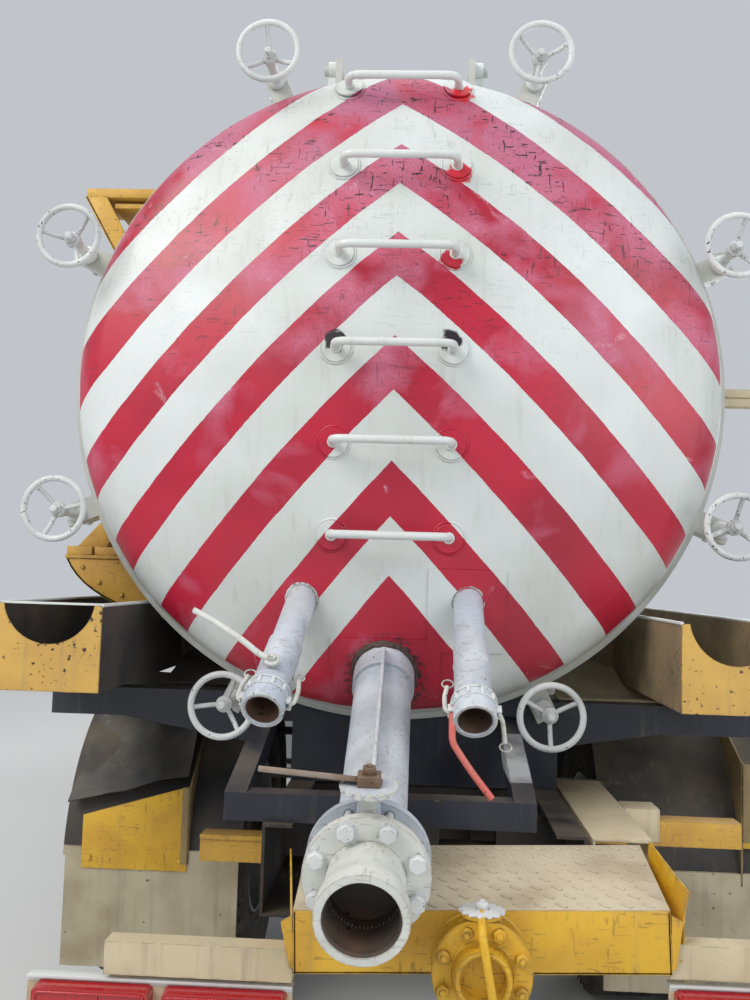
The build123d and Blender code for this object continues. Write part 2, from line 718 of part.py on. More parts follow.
# Bumper box: a sheet-metal box with a sloping tread top, open below
box_half = 437
box_low_z = 655
box_high_z = 800
box_back_z = 868
box_back = 870
box_wall = 6
with BuildPart() as bumper_box:
    with BuildSketch(Plane.YZ.offset(bumper_side_shift - box_half)):
        with BuildLine():
            Polyline((rail_rear_y - seat_gap, box_low_z), (rail_rear_y - seat_gap, box_back_z),
                     (rim_y - box_back, box_high_z), (rim_y - box_back, box_low_z),
                     (rail_rear_y - seat_gap, box_low_z))
        make_face()
    extrude(amount=2 * box_half)
    with BuildSketch(Plane.YZ.offset(bumper_side_shift - box_half + box_wall)):
        with BuildLine():
            Polyline((rail_rear_y - box_wall, box_low_z), (rail_rear_y - box_wall, box_back_z - box_wall),
                     (rim_y - box_back + box_wall, box_high_z - box_wall),
                     (rim_y - box_back + box_wall, box_low_z), (rail_rear_y - box_wall, box_low_z))
        make_face()
    extrude(amount=2 * (box_half - box_wall), mode=Mode.SUBTRACT)
finish(bumper_box.part, "bumper_box")

# Lower outlet: a flanged stub with a second butterfly valve in front of the box
outlet_x = 129
outlet_z = 712
outlet_parts = ((110, 20), (80, 52), (110, 20), (62, 40))
with BuildPart() as lower_valve:
    front = Plane(origin=(outlet_x, rim_y - box_back - seat_gap, outlet_z), x_dir=(1, 0, 0), z_dir=(0, -1, 0))
    with BuildSketch(front):
        Circle(57)
    extrude(amount=60)
    station = 60
    for radius, thickness in outlet_parts:
        with BuildSketch(front.offset(station)):
            Circle(radius)
        extrude(amount=thickness)
        station += thickness
    with BuildSketch(front.offset(station)):
        Circle(50)
    extrude(amount=-40, mode=Mode.SUBTRACT)
    neck = Plane(origin=(outlet_x, rim_y - box_back - 106, outlet_z), x_dir=(1, 0, 0), z_dir=(0, 0, 1))
    with BuildSketch(neck):
        Circle(16)
    extrude(amount=118)
    with BuildSketch(neck.offset(110)):
        Circle(46)
    extrude(amount=8)
    lever_points = ((outlet_x, rim_y - box_back - 96, outlet_z + 122),
                    (outlet_x - 6, rim_y - box_back - 202, outlet_z + 104),
                    (outlet_x + 34, rim_y - box_back - 240, outlet_z - 110))
    with BuildLine() as lever_line:
        FilletPolyline(*lever_points, radius=30)
    with BuildSketch(Plane(lever_points[0], z_dir=lever_line.line % 0)):
        Circle(9)
    sweep(path=lever_line.line)
finish(lower_valve.part, "lower_valve")

# Lamp bars: a beam and a hanging plate on each side of the box
lamp_bar_reach = 1070
lamp_beam_length = 448
lamp_plate_height = 170
lamp_sides = ((-1, 650, 530), (1, 700, 575))
with BuildPart() as lamp_bars:
    for side, beam_z, lamp_z in lamp_sides:
        inner = bumper_side_shift + side * (box_half + seat_gap)
        outer = bumper_side_shift + side * lamp_bar_reach
        with BuildSketch(Plane(origin=(0, rim_y - 800, 0), x_dir=(1, 0, 0), z_dir=(0, -1, 0))):
            with Locations((inner + side * lamp_beam_length / 2, beam_z)):
                Rectangle(lamp_beam_length, 76)
        extrude(amount=60)
        plate_low_z = lamp_z - lamp_plate_height / 2 - 20
        with BuildSketch(Plane(origin=(0, rim_y - 840, 0), x_dir=(1, 0, 0), z_dir=(0, -1, 0))):
            with Locations(((inner + outer) / 2, lamp_z - 20)):
                Rectangle(abs(outer - inner), lamp_plate_height)
        extrude(amount=6)
        with BuildSketch(Plane(origin=(0, rim_y - 834, 0), x_dir=(1, 0, 0), z_dir=(0, -1, 0))):
            with Locations((inner + side * 60, (plate_low_z + beam_z) / 2),
                           (inner + side * (lamp_beam_length - 40), (plate_low_z + beam_z) / 2)):
                Rectangle(50, beam_z - plate_low_z)
        extrude(amount=6)
finish(lamp_bars.part, "lamp_bars")

# Tail lamps: two lamps on each plate
lamp_places = ((157, 292), (470, 280))
with BuildPart() as tail_lamps:
    for side, beam_z, lamp_z in lamp_sides:
        inner = bumper_side_shift + side * (box_half + seat_gap)
        for lamp_x, lamp_width in lamp_places:
            with BuildSketch(Plane(origin=(0, rim_y - 846 - seat_gap, 0), x_dir=(1, 0, 0), z_dir=(0, -1, 0))):
                with Locations((inner + side * lamp_x, lamp_z)):
                    RectangleRounded(lamp_width, 120, 14)
            extrude(amount=45, taper=4)
finish(tail_lamps.part, "tail_lamps")

# Mudguards: arches over the twin wheels, held on arms from the rails, with yellow rear plates
arch_radius = 585
arch_thickness = 6
flap_thickness = 9
arch_inner_x = 615
arch_outer_x = 1240
mud_plate_edges = ((-804, -1172), (985, 1236))
mud_plate_low_z = 535
with BuildPart() as rear_mudguards:
    for side in (-1, 1):
        low_x = min(side * arch_inner_x, side * arch_outer_x)
        with BuildSketch(Plane.YZ.offset(low_x)):
            with Locations((rear_axle_y, tyre_radius)):
                Circle(arch_radius + arch_thickness)
                Circle(arch_radius, mode=Mode.SUBTRACT)
            with Locations((rear_axle_y, tyre_radius - 400)):
                Rectangle(2000, 900, mode=Mode.SUBTRACT)
        extrude(amount=arch_outer_x - arch_inner_x)
        arm_x = min(side * (rail_outer_x + seat_gap), side * (arch_inner_x + 40))
        for arm_turn in (35, 145):
            arm_y = rear_axle_y + (arch_radius + 8) * cos(radians(arm_turn))
            arm_z = tyre_radius + (arch_radius + 8) * sin(radians(arm_turn))
            with BuildSketch(Plane.YZ.offset(arm_x)):
                with Locations((arm_y, arm_z)):
                    Circle(18)
            extrude(amount=arch_inner_x + 40 - rail_outer_x)
    for side in (-1, 1):
        with BuildSketch(Plane(origin=(0, rear_axle_y - arch_radius, 0), x_dir=(1, 0, 0),
                               z_dir=(0, -1, 0))):
            with Locations((side * (arch_inner_x + arch_outer_x) / 2, 405)):
                Rectangle(arch_outer_x - arch_inner_x - 20, 400)
        extrude(amount=flap_thickness)
finish(rear_mudguards.part, "rear_mudguards")

with BuildPart() as mudguard_plates:
    plate_y = rear_axle_y - arch_radius - flap_thickness - seat_gap
    with BuildSketch(Plane(origin=(0, plate_y, 0), x_dir=(1, 0, 0), z_dir=(0, -1, 0))):
        for plate_inner, plate_outer in mud_plate_edges:
            with BuildLine():
                Polyline((plate_inner, mud_plate_low_z), (plate_inner, 823), (plate_outer, 714),
                         (plate_outer, mud_plate_low_z), (plate_inner, mud_plate_low_z))
            make_face()
    extrude(amount=5)
finish(mudguard_plates.part, "mudguard_plates")

# Axles and wheels
tyre_seat = rim_radius - 0.3


def tyre_body(centre_x, centre_y):
    """One tyre: rounded sides and a flat tread, turned about its axle."""
    half = tyre_width / 2
    with BuildPart() as body:
        with BuildSketch(Plane(origin=(centre_x, centre_y, tyre_radius), x_dir=(1, 0, 0), z_dir=(0, -1, 0))):
            with BuildLine():
                Polyline((-105, rim_radius), (105, rim_radius))
                ThreePointArc((105, rim_radius), (half, 400), (118, tyre_radius - 16))
                Polyline((118, tyre_radius - 16), (98, tyre_radius), (-98, tyre_radius),
                         (-118, tyre_radius - 16))
                ThreePointArc((-118, tyre_radius - 16), (-half, 400), (-105, rim_radius))
            make_face()
        revolve(axis=Axis((centre_x, centre_y, tyre_radius), (1, 0, 0)))
    return body.part


def front_rim_body(side):
    """A front wheel disc: barrel, dished web with hand holes, and hub."""
    out = Plane(origin=(side * front_track_half, front_axle_y, tyre_radius), x_dir=(side, 0, 0),
                z_dir=(0, -side, 0))
    with BuildPart() as body:
        with BuildSketch(out):
            with BuildLine():
                Polyline((-118, tyre_seat), (118, tyre_seat), (118, tyre_seat - rim_wall),
                         (62, tyre_seat - rim_wall), (58, 190), (88, 160), (100, 90), (100, 0), (86, 0),
                         (86, spindle_radius + running_gap), (-48, spindle_radius + running_gap), (-48, 95),
                         (60, 110), (48, 190), (50, tyre_seat - rim_wall), (-118, tyre_seat - rim_wall),
                         (-118, tyre_seat))
            make_face()
        revolve(axis=Axis(out.origin, (1, 0, 0)))
        with BuildSketch(Plane(origin=out.origin, x_dir=(0, 1, 0), z_dir=(side, 0, 0))):
            with PolarLocations(225, 8):
                Circle(26)
        extrude(amount=120, mode=Mode.SUBTRACT)
    return body.part


def rear_rim_body(side):
    """Twin rear wheels: two barrels, facing webs and one hub."""
    out = Plane(origin=(0, rear_axle_y, tyre_radius), x_dir=(side, 0, 0), z_dir=(0, -side, 0))
    inner_edge = rear_inner_x - 118
    outer_edge = rear_outer_x + 118
    low = tyre_seat - rim_wall
    middle = (rear_inner_x + rear_outer_x) / 2
    with BuildPart() as body:
        with BuildSketch(out):
            with BuildLine():
                Polyline((inner_edge, tyre_seat), (rear_inner_x + 118, tyre_seat),
                         (rear_inner_x + 118, low), (middle, 200), (rear_outer_x - 118, low),
                         (rear_outer_x - 118, tyre_seat), (outer_edge, tyre_seat), (outer_edge, low),
                         (rear_outer_x - 100, low), (middle + 12, 188), (middle + 12, 140),
                         (rear_outer_x + 60, 110), (rear_outer_x + 60, 0), (rear_outer_x + 50, 0),
                         (rear_outer_x + 50, rear_stub_radius + running_gap),
                         (middle - 100, rear_stub_radius + running_gap), (middle - 100, 140),
                         (middle - 12, 140), (middle - 12, 188), (rear_inner_x + 100, low),
                         (inner_edge, low), (inner_edge, tyre_seat))
            make_face()
        revolve(axis=Axis(out.origin, (1, 0, 0)))
        with BuildSketch(Plane(origin=out.origin, x_dir=(0, 1, 0), z_dir=(side, 0, 0))):
            with PolarLocations(228, 8):
                Circle(22)
        extrude(amount=outer_edge + 10, mode=Mode.SUBTRACT)
    return body.part


for side, word in ((-1, "left"), (1, "right")):
    finish(tyre_body(side * front_track_half, front_axle_y), f"front_tyre_{word}")
    finish(front_rim_body(side), f"front_rim_{word}")
    inner_tyre = tyre_body(side * rear_inner_x, rear_axle_y)
    outer_tyre = tyre_body(side * rear_outer_x, rear_axle_y)
    finish(Compound(children=[inner_tyre, outer_tyre]), f"rear_tyres_{word}")
    finish(rear_rim_body(side), f"rear_rims_{word}")
    knuckle_plane = Plane.XY.offset(tyre_radius)
    with BuildPart() as knuckle:
        with Locations((side * kingpin_x, front_axle_y, tyre_radius)):
            Cylinder(kingpin_radius, 162)
            for lift in (-66.2, 66.2):
                with Locations((0, 0, lift)):
                    Cylinder(46, 30)
                with Locations((side * 33, 0, lift)):
                    Box(66, 92, 30)
            with Locations((side * 66, 0, 0)):
                Box(18, 120, 162.4)
            with Locations((side * 135, 0, 0)):
                Cylinder(spindle_radius, 154, rotation=(0, 90, 0))
    finish(knuckle.part, f"knuckle_{word}")

spring_seat_z = 500
with BuildPart() as front_axle:
    with BuildSketch(Plane(origin=(0, front_axle_y - 45, 0), x_dir=(1, 0, 0), z_dir=(0, -1, 0))):
        with BuildLine():
            Polyline((-kingpin_x, 472), (-kingpin_x, 572), (-820, 572), (-600, spring_seat_z),
                     (600, spring_seat_z), (820, 572), (kingpin_x, 572), (kingpin_x, 472), (820, 472),
                     (600, 400), (-600, 400), (-820, 472), (-kingpin_x, 472))
        make_face()
    extrude(amount=-90)
    for side in (-1, 1):
        with Locations((side * kingpin_x, front_axle_y, tyre_radius)):
            Cylinder(47, 100)
            Cylinder(kingpin_radius + running_gap, 100, mode=Mode.SUBTRACT)
        with BuildSketch(Plane.YZ.offset(side * 390 - 40)):
            with BuildLine():
                ThreePointArc((front_axle_y - 700, 640), (front_axle_y, spring_seat_z - 5),
                              (front_axle_y + 700, 640))
                Line((front_axle_y + 700, 640), (front_axle_y + 700, rail_low_z - seat_gap))
                ThreePointArc((front_axle_y + 700, rail_low_z - seat_gap), (front_axle_y, spring_seat_z + 60),
                              (front_axle_y - 700, rail_low_z - seat_gap))
                Line((front_axle_y - 700, rail_low_z - seat_gap), (front_axle_y - 700, 640))
            make_face()
        extrude(amount=80)
finish(front_axle.part, "front_axle")

with BuildPart() as rear_axle:
    with Locations((0, rear_axle_y, tyre_radius)):
        Cylinder(80, 1260, rotation=(0, 90, 0))
        Cylinder(rear_stub_radius, 2 * (rear_outer_x + 45), rotation=(0, 90, 0))
        Sphere(215)
        with Locations((0, 230, 0)):
            Cylinder(70, 120, rotation=(90, 0, 0))
    for side in (-1, 1):
        with BuildSketch(Plane.YZ.offset(side * 390 - 40)):
            with BuildLine():
                ThreePointArc((rear_axle_y - 750, 645), (rear_axle_y, 590), (rear_axle_y + 750, 645))
                Line((rear_axle_y + 750, 645), (rear_axle_y + 750, rail_low_z - seat_gap))
                ThreePointArc((rear_axle_y + 750, rail_low_z - seat_gap), (rear_axle_y, 650),
                              (rear_axle_y - 750, rail_low_z - seat_gap))
                Line((rear_axle_y - 750, rail_low_z - seat_gap), (rear_axle_y - 750, 645))
            make_face()
        extrude(amount=80)
finish(rear_axle.part, "rear_axle")

# Cab shell: panels round a hollow, with openings for doors, windscreen and rear window
cab_low_rear_y = cab_face_y - nose_depth
roof_front_y = cab_face_y - 260
screen_foot_z = 1500
screen_top_y = cab_face_y - 120
screen_low_z = 1640
screen_high_z = 2540
screen_half = 1000
rear_window_half = 600
rear_window_low_z = 1950
rear_window_high_z = 2400


def front_opening(inset, from_y, depth, half, low_z, high_z, corner):
    """A rounded block that runs along Y, for an opening or the pane in it."""
    with BuildPart() as block:
        with BuildSketch(Plane(origin=(0, from_y, (low_z + high_z) / 2), x_dir=(1, 0, 0), z_dir=(0, -1, 0))):
            RectangleRounded(2 * (half - inset), high_z - low_z - 2 * inset, corner)
        extrude(amount=-depth)
    return block.part


def side_opening(inset, side, from_x, depth, low_y, high_y, low_z, high_z, corner):
    """A rounded block that runs along X, for a door, its opening or its pane."""
    with BuildPart() as block:
        with BuildSketch(Plane(origin=(side * from_x, (low_y + high_y) / 2, (low_z + high_z) / 2),
                               x_dir=(0, 1, 0), z_dir=(1, 0, 0))):
            RectangleRounded(high_y - low_y - 2 * inset, high_z - low_z - 2 * inset, corner)
        extrude(amount=side * depth)
    return block.part


door_hinge_x = cab_half_width + 12.5
door_hinge_y = door_front_y - door_gap / 2
door_hinge_zs = (1420, 2300)
with BuildPart() as cab_shell:
    with BuildSketch(Plane.YZ.offset(-cab_half_width)):
        with BuildLine():
            Polyline((cab_rear_y, cab_floor_z), (cab_low_rear_y, cab_floor_z), (cab_low_rear_y, cab_low_z),
                     (cab_face_y, cab_low_z), (cab_face_y, screen_foot_z), (screen_top_y, cab_roof_z - 120),
                     (roof_front_y, cab_roof_z), (cab_rear_y, cab_roof_z), (cab_rear_y, cab_floor_z))
        make_face()
    extrude(amount=2 * cab_half_width)
    upright = cab_shell.edges().filter_by(lambda edge: abs(abs(edge.center().X) - cab_half_width) < 1)
    fillet(upright.filter_by(lambda edge: edge.center().Z > screen_foot_z - 500
                             and edge.center().Y > cab_low_rear_y + 50), 70)
    with BuildSketch(Plane.YZ.offset(-cab_half_width + cab_wall)):
        with BuildLine():
            Polyline((cab_rear_y + cab_wall, cab_floor_z + cab_wall),
                     (cab_face_y - cab_wall, cab_floor_z + cab_wall),
                     (cab_face_y - cab_wall, screen_foot_z - 5),
                     (screen_top_y - cab_wall, cab_roof_z - 120 - cab_wall),
                     (roof_front_y - 30, cab_roof_z - cab_wall), (cab_rear_y + cab_wall, cab_roof_z - cab_wall),
                     (cab_rear_y + cab_wall, cab_floor_z + cab_wall))
        make_face()
    extrude(amount=2 * (cab_half_width - cab_wall), mode=Mode.SUBTRACT)
    with Locations((0, (cab_low_rear_y + cab_face_y) / 2, (cab_low_z + cab_floor_z) / 2)):
        Box(2 * (cab_half_width - cab_wall), cab_face_y - cab_low_rear_y - 2 * cab_wall,
            cab_floor_z - cab_low_z, mode=Mode.SUBTRACT)
    with Locations((0, cab_low_rear_y, (cab_low_z + cab_floor_z) / 2)):
        Box(1200, 300, cab_floor_z - cab_low_z, mode=Mode.SUBTRACT)
    add(front_opening(0, cab_face_y - 250, 300, screen_half, screen_low_z, screen_high_z, 60),
        mode=Mode.SUBTRACT)
    add(front_opening(0, cab_rear_y - 10, 100, rear_window_half, rear_window_low_z, rear_window_high_z, 60),
        mode=Mode.SUBTRACT)
    for side in (-1, 1):
        add(side_opening(0, side, cab_half_width - 80, 120, door_rear_y, door_front_y, door_low_z,
                         door_high_z, 50), mode=Mode.SUBTRACT)
    with Locations((0, cab_pivot_y, cab_pivot_z)):
        Cylinder(20, 2 * cab_half_width - cab_wall, rotation=(0, 90, 0))
    for side in (-1, 1):
        for hinge_foot_z in door_hinge_zs:
            with Locations((side * door_hinge_x, door_hinge_y, hinge_foot_z + 60.3)):
                Cylinder(12, 60)
            with Locations((side * (cab_half_width + 4), door_hinge_y + 22, hinge_foot_z + 60.3)):
                Box(8, 36, 60)
finish(cab_shell.part, "cab_shell")

with BuildPart() as cab_glass:
    add(front_opening(seat_gap, cab_face_y - 250, 300, screen_half, screen_low_z, screen_high_z, 60))
    with BuildSketch(Plane.YZ.offset(-cab_half_width)):
        with BuildLine():
            rise = cab_roof_z - 120 - screen_foot_z
            lean_y = (cab_face_y - screen_top_y) / rise
            Polyline((cab_face_y - 25, screen_foot_z), (cab_face_y - 25 + glass_thickness, screen_foot_z),
                     (screen_top_y - 25 + glass_thickness, screen_foot_z + rise),
                     (screen_top_y - 25, screen_foot_z + rise), (cab_face_y - 25, screen_foot_z))
        make_face()
    extrude(amount=2 * cab_half_width, mode=Mode.INTERSECT)
    add(front_opening(seat_gap, cab_rear_y + 20, glass_thickness, rear_window_half, rear_window_low_z,
                      rear_window_high_z, 60))
finish(cab_glass.part, "cab_glass")

window_low_z = 1840
window_edge = 75
for side, word in ((-1, "left"), (1, "right")):
    with BuildPart() as cab_door:
        add(side_opening(door_gap, side, cab_half_width - cab_wall, cab_wall, door_rear_y, door_front_y,
                         door_low_z, door_high_z, 45))
        add(side_opening(0, side, cab_half_width - 80, 120, door_rear_y + window_edge,
                         door_front_y - window_edge, window_low_z, door_high_z - window_edge, 40),
            mode=Mode.SUBTRACT)
        for hinge_foot_z in door_hinge_zs:
            with Locations((side * door_hinge_x, door_hinge_y, hinge_foot_z)):
                Cylinder(12, 60)
            with Locations((side * (cab_half_width + 4), door_hinge_y - 22, hinge_foot_z)):
                Box(8, 36, 60)
    finish(cab_door.part, f"cab_door_{word}")
    pane = side_opening(seat_gap, side, cab_half_width - 29, glass_thickness, door_rear_y + window_edge,
                        door_front_y - window_edge, window_low_z, door_high_z - window_edge, 40)
    finish(pane, f"door_glass_{word}")

# Grille, bumper and lamps at the front
grille_half = 720
grille_low_z = 900
grille_slat_step = 78
with BuildPart() as grille:
    with BuildSketch(Plane(origin=(0, cab_face_y + seat_gap, 1170), x_dir=(1, 0, 0), z_dir=(0, -1, 0))):
        RectangleRounded(2 * grille_half, 500, 40)
        with GridLocations(0, grille_slat_step, 1, 6):
            RectangleRounded(2 * grille_half - 120, 44, 20, mode=Mode.SUBTRACT)
    extrude(amount=-16)
finish(grille.part, "grille")

bumper_low_z = 420
bumper_high_z = 700
lamp_x = 880
with BuildPart() as front_bumper:
    with BuildSketch(Plane.XY.offset(bumper_low_z)):
        with BuildLine():
            Polyline((-cab_half_width, front_y - bumper_depth), (cab_half_width, front_y - bumper_depth),
                     (cab_half_width, front_y - 90), (cab_half_width - 90, front_y - 20),
                     (500, front_y), (-500, front_y), (-cab_half_width + 90, front_y - 20),
                     (-cab_half_width, front_y - 90), (-cab_half_width, front_y - bumper_depth))
        make_face()
    extrude(amount=bumper_high_z - bumper_low_z)
    for side in (-1, 1):
        with Locations((side * lamp_x, front_y - 30, 590)):
            Box(300, 130, 150, mode=Mode.SUBTRACT)
        bracket_end = front_y - bumper_depth
        with Locations((side * (rail_outer_x - 40), (rail_front_y + seat_gap + bracket_end) / 2, 679.5)):
            Box(70, bracket_end - rail_front_y - seat_gap, 38)
finish(front_bumper.part, "front_bumper")

with BuildPart() as headlamps:
    for side in (-1, 1):
        with Locations((side * lamp_x, front_y - 60, 590)):
            Box(300 - 2 * seat_gap, 70 - seat_gap, 150 - 2 * seat_gap)
finish(headlamps.part, "headlamps")

# Mirrors on tube arms at the front pillars
mirror_x = cab_half_width + 170
with BuildPart() as mirrors:
    for side in (-1, 1):
        for arm_z in (1850, 2380):
            arm_start = (side * (cab_half_width + 10), mirror_foot_y, arm_z)
            arm_end = (side * mirror_x, mirror_y, arm_z)
            with BuildSketch(tube_plane(arm_start, arm_end)):
                Circle(11)
            extrude(amount=span(arm_start, arm_end))
            with Locations((side * (cab_half_width + 8), mirror_foot_y, arm_z)):
                Box(16 - 2 * seat_gap, 60, 50)
        with Locations((side * mirror_x, mirror_y, 2115)):
            Box(160, 60, 580)
finish(mirrors.part, "mirrors")

# Inside the cab
floor_top_z = cab_floor_z + cab_wall
seat_x = 600
with BuildPart() as seats:
    for side in (-1, 1):
        with Locations((side * seat_x, cab_rear_y + 790, floor_top_z + seat_gap + 150)):
            Box(380, 420, 300)
        with Locations((side * seat_x, cab_rear_y + 760, floor_top_z + 385)):
            Box(500, 520, 170)
        with Locations((side * seat_x, cab_rear_y + 540, floor_top_z + 750)):
            Box(480, 140, 740)
finish(seats.part, "seats")

with BuildPart() as dashboard:
    with BuildSketch(Plane.YZ.offset(-cab_half_width + cab_wall + seat_gap)):
        with BuildLine():
            top_y = cab_face_y - cab_wall - 30
            Polyline((top_y, floor_top_z + 20), (top_y, 1560), (cab_face_y - 220, 1600), (cab_face_y - 360, 1540),
                     (cab_face_y - 340, 1380), (cab_face_y - 180, 1300), (cab_face_y - 140, floor_top_z + 20),
                     (top_y, floor_top_z + 20))
        make_face()
    extrude(amount=2 * (cab_half_width - cab_wall - seat_gap))
    column_foot = (-seat_x, cab_face_y - 280, 1560)
    column_head = (-seat_x, cab_face_y - 530, 1740)
    with BuildSketch(tube_plane(column_head, column_foot)):
        Circle(28)
    extrude(amount=span(column_head, column_foot))
    wheel_plane = tube_plane(column_head, column_foot)
    with BuildSketch(wheel_plane):
        Circle(225)
        Circle(195, mode=Mode.SUBTRACT)
        with PolarLocations(105, 3, start_angle=30):
            Rectangle(200, 34)
        Circle(60)
    extrude(amount=26)
finish(dashboard.part, "dashboard")

# Running gear and side equipment
with BuildPart() as engine_block:
    with Locations((0, gearbox_rear_y + 820, 800)):
        Box(640, 1000, 470)
    with Locations((0, gearbox_rear_y + 160, 750)):
        Box(380, 320, 330)
finish(engine_block.part, "engine_block")

with BuildPart() as prop_shaft:
    shaft_front = (0, gearbox_rear_y - seat_gap, 660)
    shaft_rear = (0, rear_axle_y + 290 + seat_gap, tyre_radius)
    with BuildSketch(tube_plane(shaft_rear, shaft_front)):
        Circle(48)
    extrude(amount=span(shaft_rear, shaft_front))
    end_cut = 60
    with Locations((0, shaft_rear[1] - end_cut, shaft_rear[2])):
        Box(200, 2 * end_cut, 200, mode=Mode.SUBTRACT)
    with Locations((0, shaft_front[1] + end_cut, shaft_front[2])):
        Box(200, 2 * end_cut, 200, mode=Mode.SUBTRACT)
finish(prop_shaft.part, "prop_shaft")

fuel_tank_y = cab_rear_y - 1500
with BuildPart() as fuel_tank:
    with BuildSketch(Plane(origin=(-rail_outer_x - 30 - 300, fuel_tank_y, 660), x_dir=(1, 0, 0), z_dir=(0, -1, 0))):
        RectangleRounded(600, 520, 90)
    extrude(amount=-900)
    for strap_y in (fuel_tank_y + 150, fuel_tank_y + 700):
        with Locations((-rail_outer_x - 25, strap_y, 780)):
            Box(50 - 2 * seat_gap, 60, 220)
finish(fuel_tank.part, "fuel_tank")

battery_y = cab_rear_y - 1100
with BuildPart() as battery_box:
    with Locations((rail_outer_x + 290, battery_y, 640)):
        Box(500, 700, 420)
    with Locations((rail_outer_x + 30, battery_y, 780)):
        Box(60 - 2 * seat_gap, 500, 100)
finish(battery_box.part, "battery_box")

pump_y = cab_rear_y - 360
deck_z = rail_top_z + seat_gap + subframe_height + seat_gap
with BuildPart() as vacuum_pump:
    with Locations((390, pump_y, deck_z + 60)):
        Box(220, 420, 120)
    with BuildSketch(Plane(origin=(390, pump_y - 230, deck_z + 280), x_dir=(1, 0, 0), z_dir=(0, -1, 0))):
        Circle(180)
    extrude(amount=-460)
    with Locations((390, pump_y, deck_z + 520)):
        Cylinder(55, 160)
    with Locations((-390, pump_y, deck_z + 420)):
        Cylinder(190, 760)
    with Locations((-390, pump_y, deck_z + 20)):
        Box(200, 300, 40)
    with Locations((-390, pump_y, deck_z + 850)):
        Cylinder(70, 120)
finish(vacuum_pump.part, "vacuum_pump")
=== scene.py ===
import json
import math
import random

import bpy
from mathutils import Matrix, Vector


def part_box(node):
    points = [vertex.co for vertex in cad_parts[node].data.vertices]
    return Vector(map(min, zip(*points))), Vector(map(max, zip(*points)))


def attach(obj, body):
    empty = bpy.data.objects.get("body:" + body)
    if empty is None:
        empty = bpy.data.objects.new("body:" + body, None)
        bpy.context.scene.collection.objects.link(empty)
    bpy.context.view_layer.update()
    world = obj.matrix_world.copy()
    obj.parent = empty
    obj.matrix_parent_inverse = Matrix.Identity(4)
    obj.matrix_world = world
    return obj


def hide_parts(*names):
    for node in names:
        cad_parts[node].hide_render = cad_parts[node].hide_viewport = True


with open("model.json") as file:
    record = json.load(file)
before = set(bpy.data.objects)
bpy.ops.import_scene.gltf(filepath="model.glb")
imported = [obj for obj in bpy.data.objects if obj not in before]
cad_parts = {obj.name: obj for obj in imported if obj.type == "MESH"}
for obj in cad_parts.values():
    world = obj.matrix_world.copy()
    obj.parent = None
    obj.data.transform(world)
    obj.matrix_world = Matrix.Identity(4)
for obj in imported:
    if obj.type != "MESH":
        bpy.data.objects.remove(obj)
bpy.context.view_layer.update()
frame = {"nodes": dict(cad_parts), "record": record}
nodes = frame["nodes"]
print("frame loaded:", len(nodes), "nodes")

# where things are, in metres, as in the part's source
tank = {"x": -0.120, "z": 2.180, "radius": 1.045, "dish": 0.340, "knuckle": 0.150, "straight": 0.030}
rearAxleY = sum(corner.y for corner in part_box("rear_tyres_left")) / 2
frontAxleY = sum(corner.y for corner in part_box("front_tyre_left")) / 2
rimY = rearAxleY - 0.830
axleZ = 0.522
alongX, alongY, alongZ = Vector((1, 0, 0)), Vector((0, 1, 0)), Vector((0, 0, 1))
bothSides = ((-1, "left"), (1, "right"))


def atTank(x, back, z):
    return Vector((tank["x"] + x, rimY - back, z))


def crownRadius(depth):
    reach = tank["radius"] - tank["knuckle"]
    rise = depth - tank["straight"]
    return (reach ** 2 + rise ** 2 - tank["knuckle"] ** 2) / (2 * (rise - tank["knuckle"]))


def dishHeight(radius):
    # how far the dished door stands out at a distance from its middle
    reach = tank["radius"] - tank["knuckle"]
    crown = crownRadius(tank["dish"])
    lean = math.atan2(crown - tank["dish"] + tank["straight"], reach)
    if radius > reach + tank["knuckle"] * math.cos(lean):
        return tank["straight"] + math.sqrt(max(tank["knuckle"] ** 2 - (radius - reach) ** 2, 0))
    return tank["dish"] - crown + math.sqrt(crown ** 2 - radius ** 2)


def onDish(x, z, lift=0.0):
    return atTank(x, dishHeight(math.hypot(x, z)) + lift, tank["z"] + z)


def dishNormal(x, z, step=0.002):
    # the way the dish faces at a place
    acrossDish = onDish(x + step, z) - onDish(x - step, z)
    upDish = onDish(x, z + step) - onDish(x, z - step)
    return acrossDish.cross(upDish).normalized()


def turnsOf(count, start=0.0, span=360.0):
    return [math.radians(start + span * number / count) for number in range(count)]


def circle(count, first, second, radius, start=0.0):
    # evenly spaced steps round a circle that two directions span
    return [(first * math.cos(turn) + second * math.sin(turn)) * radius for turn in turnsOf(count, start)]


def srgb(red, green, blue):
    # a colour as the eye reads it, 0 to 255, made linear
    def linear(value):
        value /= 255
        return value / 12.92 if value <= 0.04045 else ((value + 0.055) / 1.055) ** 2.4
    return (linear(red), linear(green), linear(blue), 1.0)


# shader helpers
def addNode(tree, kind, **settings):
    made = tree.nodes.new(kind)
    for key, value in settings.items():
        setattr(made, key, value)
    return made


def feed(tree, socket, value):
    # a number or a colour is set on the socket, anything else is linked to it
    if isinstance(value, (int, float, tuple)):
        socket.default_value = value
    else:
        tree.links.new(value, socket)


def objectPlace(tree):
    return addNode(tree, "ShaderNodeTexCoord").outputs["Object"]


def splitAxes(tree, vector):
    split = addNode(tree, "ShaderNodeSeparateXYZ")
    feed(tree, split.inputs[0], vector)
    return split.outputs


def mathNode(tree, operation, first, second=None, clamp=False):
    made = addNode(tree, "ShaderNodeMath", operation=operation, use_clamp=clamp)
    feed(tree, made.inputs[0], first)
    if second is not None:
        feed(tree, made.inputs[1], second)
    return made.outputs[0]


def times(tree, first, second, clamp=False):
    return mathNode(tree, "MULTIPLY", first, second, clamp)


def plus(tree, first, second, clamp=False):
    return mathNode(tree, "ADD", first, second, clamp)


def minus(tree, first, second):
    return mathNode(tree, "SUBTRACT", first, second)


